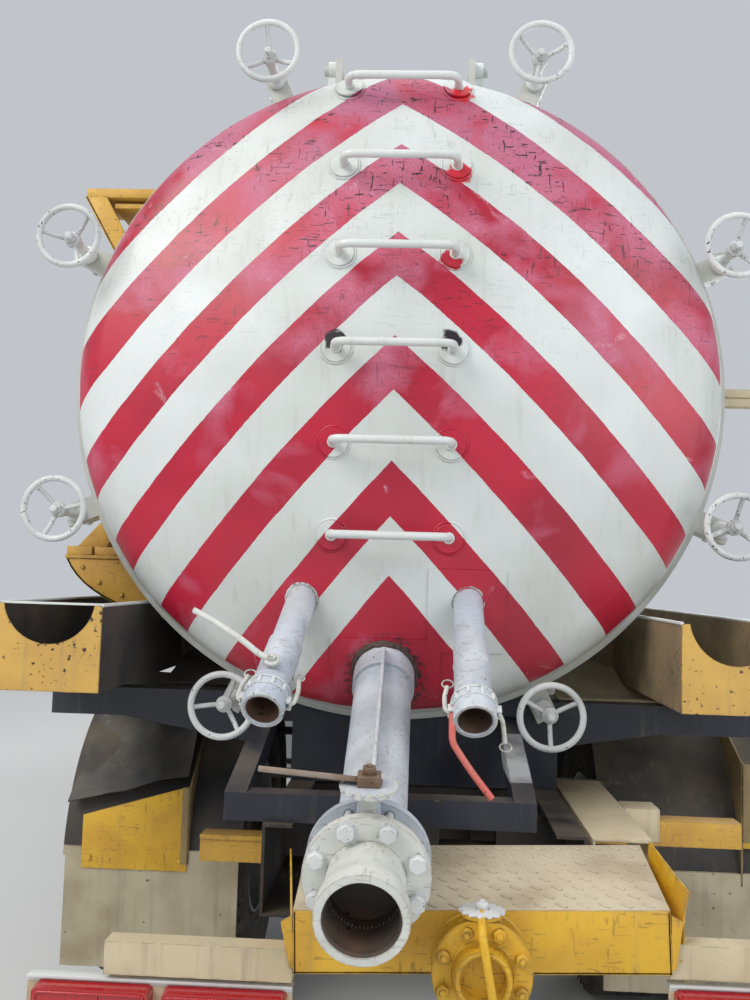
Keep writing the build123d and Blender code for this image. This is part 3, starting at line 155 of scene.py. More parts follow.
def distance(tree, first, second):
    return mathNode(tree, "SQRT", plus(tree, times(tree, first, first), times(tree, second, second)))


def rangeNode(tree, value, low, high, toLow=0.0, toHigh=1.0):
    made = addNode(tree, "ShaderNodeMapRange", clamp=True)
    feed(tree, made.inputs["Value"], value)
    for key, number in (("From Min", low), ("From Max", high), ("To Min", toLow), ("To Max", toHigh)):
        made.inputs[key].default_value = number
    return made.outputs["Result"]


def mixColour(tree, amount, first, second):
    made = addNode(tree, "ShaderNodeMix", data_type="RGBA")
    for slot, value in ((0, amount), (6, first), (7, second)):
        feed(tree, made.inputs[slot], value)
    return made.outputs[2]


def noiseNode(tree, place, scale, detail=3.0, stretch=None, turn=None, distortion=0.0):
    if stretch:
        mapping = addNode(tree, "ShaderNodeMapping")
        feed(tree, mapping.inputs["Vector"], place)
        mapping.inputs["Scale"].default_value = stretch
        if turn:
            mapping.inputs["Rotation"].default_value = turn
        place = mapping.outputs["Vector"]
    made = addNode(tree, "ShaderNodeTexNoise")
    for key, value in (("Vector", place), ("Scale", scale), ("Detail", detail), ("Distortion", distortion)):
        feed(tree, made.inputs[key], value)
    return made.outputs["Fac"]


def startGroup(name, inputs, outputs=("Mask",)):
    group = bpy.data.node_groups.new(name, "ShaderNodeTree")
    for label, value in inputs.items():
        group.interface.new_socket(label, in_out="INPUT", socket_type="NodeSocketFloat").default_value = value
    for label in outputs:
        group.interface.new_socket(label, in_out="OUTPUT", socket_type="NodeSocketFloat")
    return group, group.nodes.new("NodeGroupInput").outputs, group.nodes.new("NodeGroupOutput").inputs


def buildEdgeWear():
    # paint rubbed off along corners, broken up by noise
    group, given, out = startGroup("edgeWear", {"Radius": 0.006, "Amount": 0.5, "Breakup": 30.0})
    bevel = addNode(group, "ShaderNodeBevel", samples=2)
    feed(group, bevel.inputs["Radius"], given["Radius"])
    dot = addNode(group, "ShaderNodeVectorMath", operation="DOT_PRODUCT")
    feed(group, dot.inputs[0], bevel.outputs["Normal"])
    feed(group, dot.inputs[1], addNode(group, "ShaderNodeNewGeometry").outputs["Normal"])
    edge = rangeNode(group, dot.outputs["Value"], 0.985, 0.80)
    noise = noiseNode(group, objectPlace(group), given["Breakup"], 5.0)
    broken = plus(group, noise, minus(group, given["Amount"], 1.0))
    feed(group, out["Mask"], times(group, edge, times(group, broken, 8.0, clamp=True)))
    return group


def buildDust():
    # dust that lies on upward faces and gathers in patches
    group, given, out = startGroup("settledDust", {"Amount": 0.4, "Scale": 4.0})
    coordinate = addNode(group, "ShaderNodeTexCoord")
    upward = rangeNode(group, splitAxes(group, coordinate.outputs["Normal"])["Z"], 0.1, 0.95, 0.12, 1.0)
    patch = rangeNode(group, noiseNode(group, coordinate.outputs["Object"], given["Scale"], 7.0), 0.36, 0.68)
    feed(group, out["Mask"], times(group, times(group, upward, patch), given["Amount"], clamp=True))
    return group


def buildStreaks():
    # rain marks that run down the surface
    group, given, out = startGroup("rainStreaks", {"Amount": 0.3})
    place = objectPlace(group)
    streak = rangeNode(group, noiseNode(group, place, 5.0, 4.0, stretch=(9.0, 9.0, 0.5)), 0.56, 0.72)
    patch = rangeNode(group, noiseNode(group, place, 2.2, 3.0), 0.42, 0.62)
    feed(group, out["Mask"], times(group, times(group, streak, patch), given["Amount"], clamp=True))
    return group


def buildChips():
    # small chips where stones and hoses have struck the paint
    group, given, out = startGroup("paintChips", {"Amount": 0.4, "Scale": 45.0})
    place = objectPlace(group)
    spread = times(group, noiseNode(group, place, 3.0), times(group, given["Amount"], 0.5))
    lifted = plus(group, noiseNode(group, place, given["Scale"], 6.0), spread)
    feed(group, out["Mask"], rangeNode(group, lifted, 0.80, 0.84))
    return group


def buildScratches():
    # short scrapes in three directions, only in some patches
    group, given, out = startGroup("shortScrapes", {"Amount": 0.5})
    place = objectPlace(group)
    lines = 0.0
    for scale, detail, stretch, lean, bend, low in ((26.0, 1.5, (0.9, 1.0, 5.0), 0.62, 0.6, 0.655),
                                                    (22.0, 1.5, (0.9, 1.0, 5.5), -0.9, 0.8, 0.66),
                                                    (24.0, 1.0, (5.0, 1.0, 0.9), 0.3, 0.5, 0.67)):
        scrape = noiseNode(group, place, scale, detail, stretch=stretch, turn=(0.0, lean, 0.0), distortion=bend)
        lines = mathNode(group, "MAXIMUM", lines, rangeNode(group, scrape, low, low + 0.025))
    patch = rangeNode(group, noiseNode(group, place, 5.5, 3.0), 0.40, 0.54)
    feed(group, out["Mask"], times(group, times(group, lines, patch), given["Amount"], clamp=True))
    return group


def buildSkin():
    # the fine grain of sprayed paint over slow dents in the sheet
    group, given, out = startGroup("sprayedSkin", {"Grain": 220.0, "Dents": 0.5}, ("Height", "Patches"))
    place = objectPlace(group)
    grain = times(group, noiseNode(group, place, given["Grain"], 2.0), 0.18)
    feed(group, out["Height"], plus(group, grain, times(group, noiseNode(group, place, 3.4, 1.0), given["Dents"])))
    feed(group, out["Patches"], noiseNode(group, place, 6.0, 6.0))
    return group


groups = {"edge": buildEdgeWear(), "dust": buildDust(), "streaks": buildStreaks(), "chips": buildChips(),
          "scratches": buildScratches(), "skin": buildSkin()}
print("effect groups built")


def effect(tree, name, **values):
    made = addNode(tree, "ShaderNodeGroup", node_tree=groups[name])
    for key, value in values.items():
        made.inputs[key].default_value = value
    return made.outputs


def startMaterial(name):
    material = bpy.data.materials.new(name)
    material.use_nodes = True
    tree = material.node_tree
    tree.nodes.clear()
    shader = addNode(tree, "ShaderNodeBsdfPrincipled")
    feed(tree, addNode(tree, "ShaderNodeOutputMaterial").inputs["Surface"], shader.outputs[0])
    return material, tree, shader


def finishMaterial(tree, shader, sockets, height=None, strength=0.0, deepest=0.002):
    # the values of the shader's sockets, and its bump
    for label, value in sockets.items():
        feed(tree, shader.inputs[label], value)
    if height is not None:
        bump = addNode(tree, "ShaderNodeBump")
        bump.inputs["Strength"].default_value = strength
        bump.inputs["Distance"].default_value = deepest
        feed(tree, bump.inputs["Height"], height)
        feed(tree, shader.inputs["Normal"], bump.outputs["Normal"])


paintDefaults = {"colour": (200, 200, 200), "fade": (180, 180, 180), "fadeRange": (0.40, 0.66),
                 "under": (60, 52, 46), "edgeRadius": 0.005, "edgeAmount": 0.45, "edgeBreakup": 28.0,
                 "dust": (150, 138, 116), "dustAmount": 0.35, "dustScale": 4.0,
                 "streak": (120, 112, 98), "streakAmount": 0.3, "chipAmount": 0.3, "chipScale": 45.0,
                 "scrape": 0.0, "rough": (0.38, 0.60), "metal": 0.0, "grain": 220.0, "dents": 0.5,
                 "bump": 0.12, "coat": 0.0, "regions": ()}


def regionMask(tree, low, high):
    # 1 inside a box given in metres
    place = splitAxes(tree, objectPlace(tree))
    mask = 1.0
    for axis, start, end in zip("XYZ", low, high):
        above = mathNode(tree, "GREATER_THAN", place[axis], start)
        mask = times(tree, mask, times(tree, above, mathNode(tree, "LESS_THAN", place[axis], end)))
    return mask


def paintedMetal(name, changes):
    look = dict(paintDefaults, **changes)
    material, tree, shader = startMaterial(name)
    skin = effect(tree, "skin", Grain=look["grain"], Dents=look["dents"])
    chips = effect(tree, "chips", Amount=look["chipAmount"], Scale=look["chipScale"])["Mask"]
    edge = effect(tree, "edge", Radius=look["edgeRadius"], Amount=look["edgeAmount"],
                  Breakup=look["edgeBreakup"])["Mask"]
    dust = effect(tree, "dust", Amount=look["dustAmount"], Scale=look["dustScale"])["Mask"]
    streaks = effect(tree, "streaks", Amount=look["streakAmount"])["Mask"]
    patches = rangeNode(tree, skin["Patches"], *look["fadeRange"])
    colour = mixColour(tree, patches, srgb(*look["colour"]), srgb(*look["fade"]))
    for low, high, tone, dull in look["regions"]:
        toned = mixColour(tree, patches, srgb(*tone), srgb(*dull))
        colour = mixColour(tree, regionMask(tree, low, high), colour, toned)
    colour = mixColour(tree, streaks, colour, srgb(*look["streak"]))
    worn = mathNode(tree, "MAXIMUM", chips, edge)
    if look["scrape"]:
        worn = mathNode(tree, "MAXIMUM", worn, effect(tree, "scratches", Amount=look["scrape"])["Mask"])
    colour = mixColour(tree, worn, colour, srgb(*look["under"]))
    colour = mixColour(tree, dust, colour, srgb(*look["dust"]))
    rough = rangeNode(tree, skin["Patches"], 0.3, 0.7, *look["rough"])
    rough = plus(tree, rough, times(tree, mathNode(tree, "MAXIMUM", worn, dust), 0.25), clamp=True)
    sockets = {"Base Color": colour, "Roughness": rough, "Metallic": look["metal"], "Coat Weight": look["coat"]}
    finishMaterial(tree, shader, sockets, minus(tree, skin["Height"], times(tree, worn, 0.5)), look["bump"])
    return material


# the striped paint of the rear door: red chevrons on white, faded and cracked towards the top
chevrons = {"lean": 0.94, "bow": 0.236, "tilt": 0.061, "squeeze": 0.303, "edgeRadius": 1.040,
            "reds": ((-1.40, -0.610), (-0.444, -0.276), (-0.060, 0.100), (0.288, 0.432), (0.594, 0.727),
                     (0.879, 1.035), (1.170, 1.320)),
            "low": -1.5, "high": 1.5, "white": (213, 219, 218), "whiteDull": (196, 201, 196),
            "crimson": (184, 26, 55), "crimsonDeep": (160, 24, 50), "faded": (196, 112, 140),
            "fadedGrey": (164, 104, 132), "crack": (32, 26, 36), "pipeRoot": (-0.008, -0.918),
            # the dark tone round the foot of the discharge pipe is painted shade
            "rubbed": (214, 178, 190), "rain": (150, 146, 132), "pipeFootShade": (44, 34, 34), "edgeDirt": (150, 142, 122),
            "smears": ((0.190, 0.935, (206, 34, 48)), (0.182, 0.640, (196, 34, 52)), (0.160, 0.345, (176, 26, 50)),
                       (-0.178, 0.085, (36, 28, 34)), (0.168, 0.092, (30, 24, 30)))}


def doorPaint():
    look = chevrons
    tones = {key: srgb(*value) for key, value in look.items() if isinstance(value, tuple) and len(value) == 3}
    material, tree, shader = startMaterial("doorPaint")
    place = objectPlace(tree)
    axes = splitAxes(tree, place)
    across, up = minus(tree, axes["X"], tank["x"]), minus(tree, axes["Z"], tank["z"])
    side = mathNode(tree, "ABSOLUTE", across)

    def patches(scale, detail, low, high, distortion=0.0):
        return rangeNode(tree, noiseNode(tree, place, scale, detail, distortion=distortion), low, high)

    # how high up the door a stripe stands at the middle, before it falls to the sides
    lean = plus(tree, times(tree, side, look["bow"]), look["lean"])
    fallen = plus(tree, up, times(tree, side, lean))
    tilted = minus(tree, fallen, times(tree, across, look["tilt"]))
    level = mathNode(tree, "DIVIDE", tilted, plus(tree, times(tree, side, look["squeeze"]), 1.0))
    wobble = noiseNode(tree, place, 7.0, 2.0)
    for ragged, amount in ((wobble, 0.010), (noiseNode(tree, place, 90.0, 3.0), 0.004)):
        level = plus(tree, level, times(tree, minus(tree, ragged, 0.5), amount))
    ramp = addNode(tree, "ShaderNodeValToRGB")
    ramp.color_ramp.interpolation = "CONSTANT"
    width = look["high"] - look["low"]
    stops = [((edge - look["low"]) / width, shade) for band in look["reds"] for edge, shade in zip(band, (1.0, 0.0))]
    ramp.color_ramp.elements[0].color = (0.0, 0.0, 0.0, 1.0)
    ramp.color_ramp.elements[1].position = stops[0][0]
    ramp.color_ramp.elements[1].color = (1.0, 1.0, 1.0, 1.0)
    for position, shade in stops[1:]:
        ramp.color_ramp.elements.new(position).color = (shade, shade, shade, 1.0)
    feed(tree, ramp.inputs[0], rangeNode(tree, level, look["low"], look["high"]))
    radius = distance(tree, across, up)
    inside = mathNode(tree, "LESS_THAN", plus(tree, radius, times(tree, wobble, 0.02)), look["edgeRadius"])
    red = times(tree, ramp.outputs["Color"], inside)
    # bleached patches, more of them the higher they lie
    height = rangeNode(tree, up, -0.45, 0.95)
    blot = noiseNode(tree, place, 5.0, 6.0, distortion=0.4)
    bleach = rangeNode(tree, plus(tree, blot, times(tree, height, 0.34)), 0.60, 0.84)
    speck = patches(260.0, 2.0, 0.40, 0.62)
    bleach = times(tree, bleach, plus(tree, times(tree, speck, 0.45), 0.60), clamp=True)
    redPaint = mixColour(tree, patches(2.6, 3.0, 0.40, 0.62), tones["crimson"], tones["crimsonDeep"])
    bleached = mixColour(tree, rangeNode(tree, up, 0.45, 1.0), tones["faded"], tones["fadedGrey"])
    redPaint = mixColour(tree, bleach, redPaint, bleached)
    rubbed = times(tree, patches(9.0, 5.0, 0.66, 0.74, 0.8), times(tree, speck, 0.8))
    redPaint = mixColour(tree, rubbed, redPaint, tones["rubbed"])
    whitePaint = mixColour(tree, patches(2.2, 6.0, 0.40, 0.66), tones["white"], tones["whiteDull"])
    whitePaint = mixColour(tree, effect(tree, "streaks", Amount=0.22)["Mask"], whitePaint, tones["rain"])
    paint = mixColour(tree, red, whitePaint, redPaint)
    # short black cracks: thick on the upper reds, few on the white
    crackShare = times(tree, rangeNode(tree, up, -0.25, 0.55), plus(tree, times(tree, red, 0.78), 0.18))
    cracks = times(tree, effect(tree, "scratches", Amount=1.0)["Mask"], crackShare)
    chips = effect(tree, "chips", Amount=0.16, Scale=60.0)["Mask"]
    cracks = mathNode(tree, "MAXIMUM", cracks, times(tree, chips, 0.7))
    paint = mixColour(tree, cracks, paint, tones["crack"])

    def awayFrom(spotX, spotZ):
        return distance(tree, minus(tree, across, spotX), minus(tree, up, spotZ))

    # painted shade round the foot of the discharge pipe, broken into patches
    fromPipe = awayFrom(*look["pipeRoot"])
    pipeFootShade = rangeNode(tree, plus(tree, fromPipe, times(tree, blot, 0.05)), 0.165, 0.145)
    pipeFootShade = times(tree, pipeFootShade, patches(60.0, 5.0, 0.44, 0.60))
    paint = mixColour(tree, pipeFootShade, paint, tones["pipeFootShade"])
    # smeared fresh red at the right feet of the upper rungs, blackened paint beside the fourth
    for spotX, spotZ, tone in look["smears"]:
        ragged = plus(tree, awayFrom(spotX, spotZ), times(tree, noiseNode(tree, place, 34.0, 5.0), 0.07))
        paint = mixColour(tree, rangeNode(tree, ragged, 0.072, 0.062), paint, srgb(*tone))
    edgeDirt = rangeNode(tree, plus(tree, radius, times(tree, blot, 0.06)), 1.050, 1.095)
    paint = mixColour(tree, times(tree, edgeDirt, 0.45), paint, tones["edgeDirt"])
    gloss = rangeNode(tree, noiseNode(tree, place, 4.0, 5.0), 0.3, 0.7, 0.30, 0.46)
    skin = effect(tree, "skin", Grain=200.0, Dents=0.9)
    bumpHeight = plus(tree, minus(tree, skin["Height"], times(tree, cracks, 0.5)), times(tree, red, 0.12))
    rough = plus(tree, gloss, times(tree, bleach, 0.25), clamp=True)
    finishMaterial(tree, shader, {"Base Color": paint, "Roughness": rough, "Coat Weight": 0.05}, bumpHeight, 0.13)
    return material


def tyreRubber():
    material, tree, shader = startMaterial("tyreRubber")
    place = objectPlace(tree)
    broad, fine = noiseNode(tree, place, 7.0, 6.0), noiseNode(tree, place, 120.0, 4.0)
    colour = mixColour(tree, rangeNode(tree, broad, 0.40, 0.70), srgb(38, 37, 37), srgb(92, 84, 74))
    colour = mixColour(tree, rangeNode(tree, fine, 0.62, 0.75), colour, srgb(120, 110, 96))
    rough = rangeNode(tree, broad, 0.3, 0.7, 0.68, 0.92)
    finishMaterial(tree, shader, {"Base Color": colour, "Roughness": rough},
                   plus(tree, times(tree, fine, 0.5), broad), 0.25)
    return material


def chequerPlate():
    # dusty tread plate, its modelled bars rubbed along their edges
    material, tree, shader = startMaterial("chequerPlate")
    skin = effect(tree, "skin", Grain=160.0, Dents=0.4)
    edge = effect(tree, "edge", Radius=0.004, Amount=0.6, Breakup=22.0)["Mask"]
    dust = effect(tree, "dust", Amount=0.85, Scale=5.0)["Mask"]
    colour = mixColour(tree, rangeNode(tree, skin["Patches"], 0.42, 0.62), srgb(190, 178, 152), srgb(162, 148, 122))
    stain = rangeNode(tree, noiseNode(tree, objectPlace(tree), 3.0, 6.0, distortion=0.8), 0.52, 0.66)
    colour = mixColour(tree, times(tree, stain, 0.5), colour, srgb(112, 98, 78))
    colour = mixColour(tree, edge, colour, srgb(120, 108, 90))
    colour = mixColour(tree, dust, colour, srgb(200, 188, 162))
    rough = rangeNode(tree, skin["Patches"], 0.3, 0.7, 0.55, 0.82)
    finishMaterial(tree, shader, {"Base Color": colour, "Roughness": rough}, skin["Height"], 0.2)
    return material


def clearGlass():
    material, tree, shader = startMaterial("clearGlass")
    smear = rangeNode(tree, noiseNode(tree, objectPlace(tree), 3.0, 6.0), 0.45, 0.70)
    colour = mixColour(tree, smear, srgb(206, 220, 218), srgb(188, 198, 190))
    rough = plus(tree, times(tree, smear, 0.10), 0.02)
    finishMaterial(tree, shader, {"Base Color": colour, "Roughness": rough, "Transmission Weight": 0.92, "IOR": 1.45})
    return material


def lampLens(name, colour, dark, transmission):
    # ribbed moulded lens
    material, tree, shader = startMaterial(name)
    place = objectPlace(tree)
    ribs = addNode(tree, "ShaderNodeTexWave", wave_type="BANDS", bands_direction="X")
    feed(tree, ribs.inputs["Vector"], place)
    ribs.inputs["Scale"].default_value = 44.0
    lens = mixColour(tree, rangeNode(tree, ribs.outputs["Fac"], 0.2, 0.8), srgb(*dark), srgb(*colour))
    grime = rangeNode(tree, noiseNode(tree, place, 12.0, 5.0), 0.4, 0.7, 0.14, 0.42)
    sockets = {"Base Color": lens, "Roughness": grime, "Transmission Weight": transmission, "Coat Weight": 0.5}
    finishMaterial(tree, shader, sockets, ribs.outputs["Fac"], 0.12)
    return material


def wovenCloth():
    material, tree, shader = startMaterial("seatCloth")
    place = objectPlace(tree)
    weave = 1.0
    for direction in ("X", "Z"):
        wave = addNode(tree, "ShaderNodeTexWave", wave_type="BANDS", bands_direction=direction)
        for key, value in (("Vector", place), ("Scale", 160.0), ("Distortion", 0.6)):
            feed(tree, wave.inputs[key], value)
        weave = times(tree, weave, wave.outputs["Fac"])
    broad = noiseNode(tree, place, 5.0, 5.0)
    colour = mixColour(tree, weave, srgb(48, 52, 60), srgb(84, 88, 96))
    colour = mixColour(tree, rangeNode(tree, broad, 0.48, 0.72), colour, srgb(104, 100, 94))
    rough = rangeNode(tree, broad, 0.3, 0.7, 0.78, 0.95)
    finishMaterial(tree, shader, {"Base Color": colour, "Roughness": rough, "Sheen Weight": 0.25}, weave, 0.35, 0.001)
    return material


# the paints: what each changes of the defaults above
looks = {
    "tankWhite": dict(colour=(212, 217, 215), fade=(202, 207, 204), fadeRange=(0.30, 0.80), under=(96, 84, 70),
                      edgeAmount=0.42, chipAmount=0.22, streak=(158, 152, 136), streakAmount=0.38, rough=(0.32, 0.50),
                      dust=(184, 178, 162), dustAmount=0.28, dustScale=1.3, bump=0.14),
    "pipePaint": dict(colour=(202, 209, 217), fade=(176, 185, 196), under=(110, 78, 58), fadeRange=(0.36, 0.60),
                      edgeAmount=0.62, edgeBreakup=60.0, chipAmount=0.42, chipScale=80.0, streakAmount=0.4,
                      rough=(0.40, 0.58), bump=0.22, scrape=0.25),
    "wheelPaint": dict(colour=(214, 217, 216), fade=(186, 190, 190), under=(40, 36, 38), edgeRadius=0.004,
                       edgeAmount=0.50, edgeBreakup=85.0, chipAmount=0.55, chipScale=110.0, rough=(0.34, 0.52),
                       bump=0.18),
    "navy": dict(colour=(25, 30, 44), fade=(38, 42, 54), under=(104, 84, 66), edgeAmount=0.50, chipAmount=0.34,
                 dustAmount=0.55, streakAmount=0.25, dust=(122, 112, 94), rough=(0.36, 0.56),
                 regions=(((0.232, rimY - 0.42, 1.0), (0.308, rimY - 0.10, 1.12), (182, 186, 190), (60, 66, 80)),)),
    "chassis": dict(colour=(34, 35, 38), fade=(52, 49, 46), under=(112, 80, 58), edgeAmount=0.48, chipAmount=0.40,
                    dustAmount=0.65, dust=(128, 114, 92), rough=(0.52, 0.74), bump=0.2),
    "yellow": dict(colour=(206, 160, 58), fade=(188, 142, 62), under=(70, 58, 44), edgeAmount=0.60,
                   edgeRadius=0.006, chipAmount=0.40, streakAmount=0.35, dustAmount=0.5, dust=(196, 172, 128),
                   rough=(0.44, 0.66), scrape=0.35),
    "beige": dict(colour=(204, 190, 158), fade=(182, 168, 136), under=(96, 78, 60), edgeAmount=0.55,
                  chipAmount=0.36, streakAmount=0.5, dustAmount=0.6, dust=(188, 176, 146), rough=(0.50, 0.74)),
    "rusty": dict(colour=(120, 88, 68), fade=(92, 66, 52), under=(58, 44, 38), fadeRange=(0.44, 0.56),
                  edgeAmount=0.55, chipAmount=0.5, chipScale=60.0, dustAmount=0.3, rough=(0.66, 0.86), bump=0.4,
                  grain=140.0, metal=0.35),
    "salmonRed": dict(colour=(208, 92, 84), fade=(204, 124, 112), under=(84, 54, 46), edgeAmount=0.60,
                      edgeRadius=0.003, chipAmount=0.5, chipScale=90.0, rough=(0.40, 0.60), bump=0.2),
    "cabPaint": dict(colour=(212, 217, 216), fade=(206, 211, 209), fadeRange=(0.30, 0.80), under=(90, 80, 70),
                     edgeAmount=0.30, chipAmount=0.12, streakAmount=0.22, dustAmount=0.14, dustScale=1.3,
                     rough=(0.20, 0.34), bump=0.06, coat=0.35, dents=0.25),
    "rimSteel": dict(colour=(158, 162, 164), fade=(128, 130, 130), under=(96, 68, 50), edgeAmount=0.55,
                     chipAmount=0.42, dustAmount=0.35, rough=(0.42, 0.62), metal=0.3),
    "castIron": dict(colour=(72, 72, 74), fade=(96, 84, 74), under=(120, 84, 60), edgeAmount=0.5, chipAmount=0.45,
                     dustAmount=0.5, rough=(0.55, 0.78), grain=120.0, bump=0.4, metal=0.4),
    "blackPlastic": dict(colour=(30, 31, 33), fade=(42, 42, 44), under=(64, 62, 60), edgeAmount=0.35,
                         chipAmount=0.1, dustAmount=0.4, streakAmount=0.15, rough=(0.48, 0.66), grain=420.0,
                         bump=0.2),
    "flapRubber": dict(colour=(34, 34, 35), fade=(58, 54, 50), under=(84, 78, 70), edgeAmount=0.4, chipAmount=0.3,
                       dustAmount=0.5, streakAmount=0.6, rough=(0.70, 0.88), bump=0.25),
    "brightSteel": dict(colour=(150, 150, 148), fade=(122, 118, 112), under=(104, 78, 58), edgeAmount=0.5,
                        chipAmount=0.35, dustAmount=0.25, rough=(0.30, 0.48), metal=0.85),
    "crackedWeld": dict(colour=(206, 210, 208), fade=(150, 146, 140), under=(44, 36, 38), fadeRange=(0.42, 0.58),
                        edgeRadius=0.003, edgeAmount=0.62, edgeBreakup=120.0, chipAmount=0.85, chipScale=120.0,
                        rough=(0.46, 0.66), bump=0.3, grain=160.0),
    "scorchedWeld": dict(colour=(72, 54, 50), fade=(118, 64, 58), under=(34, 28, 30), fadeRange=(0.44, 0.58),
                         edgeRadius=0.003, edgeAmount=0.55, edgeBreakup=90.0, chipAmount=0.7, chipScale=90.0,
                         rough=(0.62, 0.84), bump=0.5, grain=130.0),
    "leverSteel": dict(colour=(146, 132, 120), fade=(116, 92, 74), under=(70, 52, 42), fadeRange=(0.42, 0.58),
                       edgeAmount=0.5, chipAmount=0.5, chipScale=70.0, rough=(0.50, 0.72), bump=0.35, metal=0.45,
                       grain=150.0),
    # rust scale inside the pipe mouths, dark as painted shade of the deep bores
    "boreRustAndShade": dict(colour=(66, 58, 52), fade=(104, 74, 54), under=(34, 30, 28), fadeRange=(0.46, 0.64),
                     edgeAmount=0.3, chipAmount=0.6, chipScale=60.0, dustAmount=0.1, rough=(0.62, 0.84), bump=0.5,
                     grain=120.0),
    "boxYellow": dict(colour=(216, 170, 36), fade=(196, 148, 38), under=(72, 60, 46), edgeAmount=0.58,
                      edgeRadius=0.005, chipAmount=0.36, streakAmount=0.3, dustAmount=0.45, dust=(198, 176, 132),
                      rough=(0.38, 0.60), scrape=0.4),
    "mirrorSilver": dict(colour=(206, 212, 216), fade=(190, 198, 204), under=(60, 60, 62), edgeAmount=0.2,
                         chipAmount=0.05, dustAmount=0.15, streakAmount=0.2, rough=(0.04, 0.12), bump=0.01,
                         metal=1.0),
    "flangeWhite": dict(colour=(214, 216, 210), fade=(192, 194, 186), under=(104, 80, 62), fadeRange=(0.38, 0.62),
                        edgeAmount=0.60, edgeBreakup=60.0, chipAmount=0.42, chipScale=80.0, streakAmount=0.5,
                        rough=(0.42, 0.62), bump=0.24, scrape=0.3),
    "tankAlloy": dict(colour=(176, 180, 182), fade=(160, 164, 166), fadeRange=(0.30, 0.80), under=(90, 84, 78),
                      edgeAmount=0.4, chipAmount=0.15, streakAmount=0.35, dustAmount=0.22, dustScale=2.0,
                      rough=(0.34, 0.52), metal=0.55, bump=0.1),
    # the yellow of the wheel box plates darkened to olive: painted shade on the side walls, with real wear and dust
    "shadedYellowSheet": dict(colour=(150, 128, 84), fade=(122, 106, 78), under=(64, 54, 44), edgeAmount=0.55,
                       chipAmount=0.45, streakAmount=0.5, dustAmount=0.5, rough=(0.52, 0.76), bump=0.2),
    # dark sheet paint for the crumpled sheet, also used as painted shade on the left deck
    "oldRubberAndShade": dict(colour=(42, 44, 46), fade=(70, 68, 66), under=(92, 84, 76), edgeAmount=0.5, chipAmount=0.3,
                      dustAmount=0.7, dust=(132, 124, 110), streakAmount=0.5, rough=(0.58, 0.82), bump=0.3),
    "trayPaint": dict(colour=(206, 166, 82), fade=(186, 146, 76), under=(74, 56, 42), edgeAmount=0.62,
                      chipAmount=0.62, chipScale=70.0, streakAmount=0.4, dustAmount=0.5, dust=(196, 174, 132),
                      rough=(0.46, 0.68), bump=0.2,
                      # the walls behind the front plates carry painted shade: near black on the left tray, olive brown
                      # on the right
                      regions=(((-3, rimY - 0.4655, 0), (0, 9, 4), (44, 44, 48), (58, 54, 50)),
                               ((0, rimY - 0.4655, 0), (3, 9, 4), (138, 120, 90), (112, 98, 76)))),
    "mudguardPaint": dict(colour=(36, 36, 38), fade=(56, 52, 48), under=(92, 78, 62), edgeAmount=0.50,
                          chipAmount=0.40, dustAmount=0.7, dust=(128, 116, 96), streakAmount=0.4,
                          rough=(0.56, 0.80), bump=0.25,
                          regions=(((-3, rearAxleY - 0.7, 0), (3, rearAxleY - 0.5845, 0.606), (182, 172, 146),
                                    (158, 146, 120)),)),
}
paints = {name: paintedMetal(name, look) for name, look in looks.items()}
for make in (doorPaint, tyreRubber, chequerPlate, clearGlass, wovenCloth):
    made = make()
    paints[made.name] = made
for name, colour, dark, transmission in (("lampAmber", (236, 150, 30), (196, 110, 20), 0.3),
                                         ("lampRed", (190, 26, 30), (164, 18, 24), 0.10),
                                         ("lampClear", (224, 226, 222), (186, 190, 190), 0.7)):
    paints[name] = lampLens(name, colour, dark, transmission)
print("paints mixed:", len(paints))

# which finish each solid takes, by its slot in the record, with a few that differ
slotPaints = {"tank_white": "tankWhite", "navy": "navy", "chassis": "chassis", "yellow": "yellow",
              "beige": "beige", "pipe_paint": "pipePaint", "rusty": "rusty", "cab_paint": "cabPaint",
              "clear_glass": "clearGlass", "black_plastic": "blackPlastic", "lamp_red": "lampRed",
              "lamp_clear": "lampClear", "seat_cloth": "seatCloth", "tyre": "tyreRubber",
              "rim_steel": "rimSteel", "flap_rubber": "flapRubber", "cast": "castIron"}
nodePaints = {"rear_door": "doorPaint", "discharge_valve": "flangeWhite", "discharge_socket": "flangeWhite",
              "mudguard_plates": "boxYellow", "lower_valve": "boxYellow", "clamp_handwheels": "wheelPaint",
              "hose_trays": "trayPaint", "rear_mudguards": "mudguardPaint", "fuel_tank": "tankAlloy"}
slotOf = {row["node"]: row["material_slot"] for row in frame["record"]["subparts"]}
for name, piece in nodes.items():
    chosen = paints[nodePaints.get(name, slotPaints.get(slotOf.get(name), "castIron"))]
    piece.data.materials.clear()
    piece.data.materials.append(chosen)
print("finishes given to", len(nodes), "solids")


def deselect():
    if bpy.context.object and bpy.context.object.mode != "OBJECT":
        bpy.ops.object.mode_set(mode="OBJECT")
    bpy.ops.object.select_all(action="DESELECT")


def addObject(name, data):
    made = bpy.data.objects.new(name, data)
    bpy.context.scene.collection.objects.link(made)
    return made


# camera where the photographer stood, close behind the door
camera = {"place": (-0.032, rimY - 3.270, 1.560), "lens": 36.0, "sensor": 36.0, "up": 4.5, "left": 2.6, "roll": 1.7}
cameraData = bpy.data.cameras.new("camera")
cameraData.lens = camera["lens"]
cameraData.sensor_width = camera["sensor"]
cameraData.clip_start = 0.05
facing = (Matrix.Rotation(math.radians(camera["left"]), 4, "Z")
          @ Matrix.Rotation(math.radians(90 + camera["up"]), 4, "X")
          @ Matrix.Rotation(math.radians(camera["roll"]), 4, "Z"))
cameraPiece = addObject("camera", cameraData)
cameraPiece.matrix_world = Matrix.Translation(camera["place"]) @ facing
bpy.context.scene.camera = cameraPiece

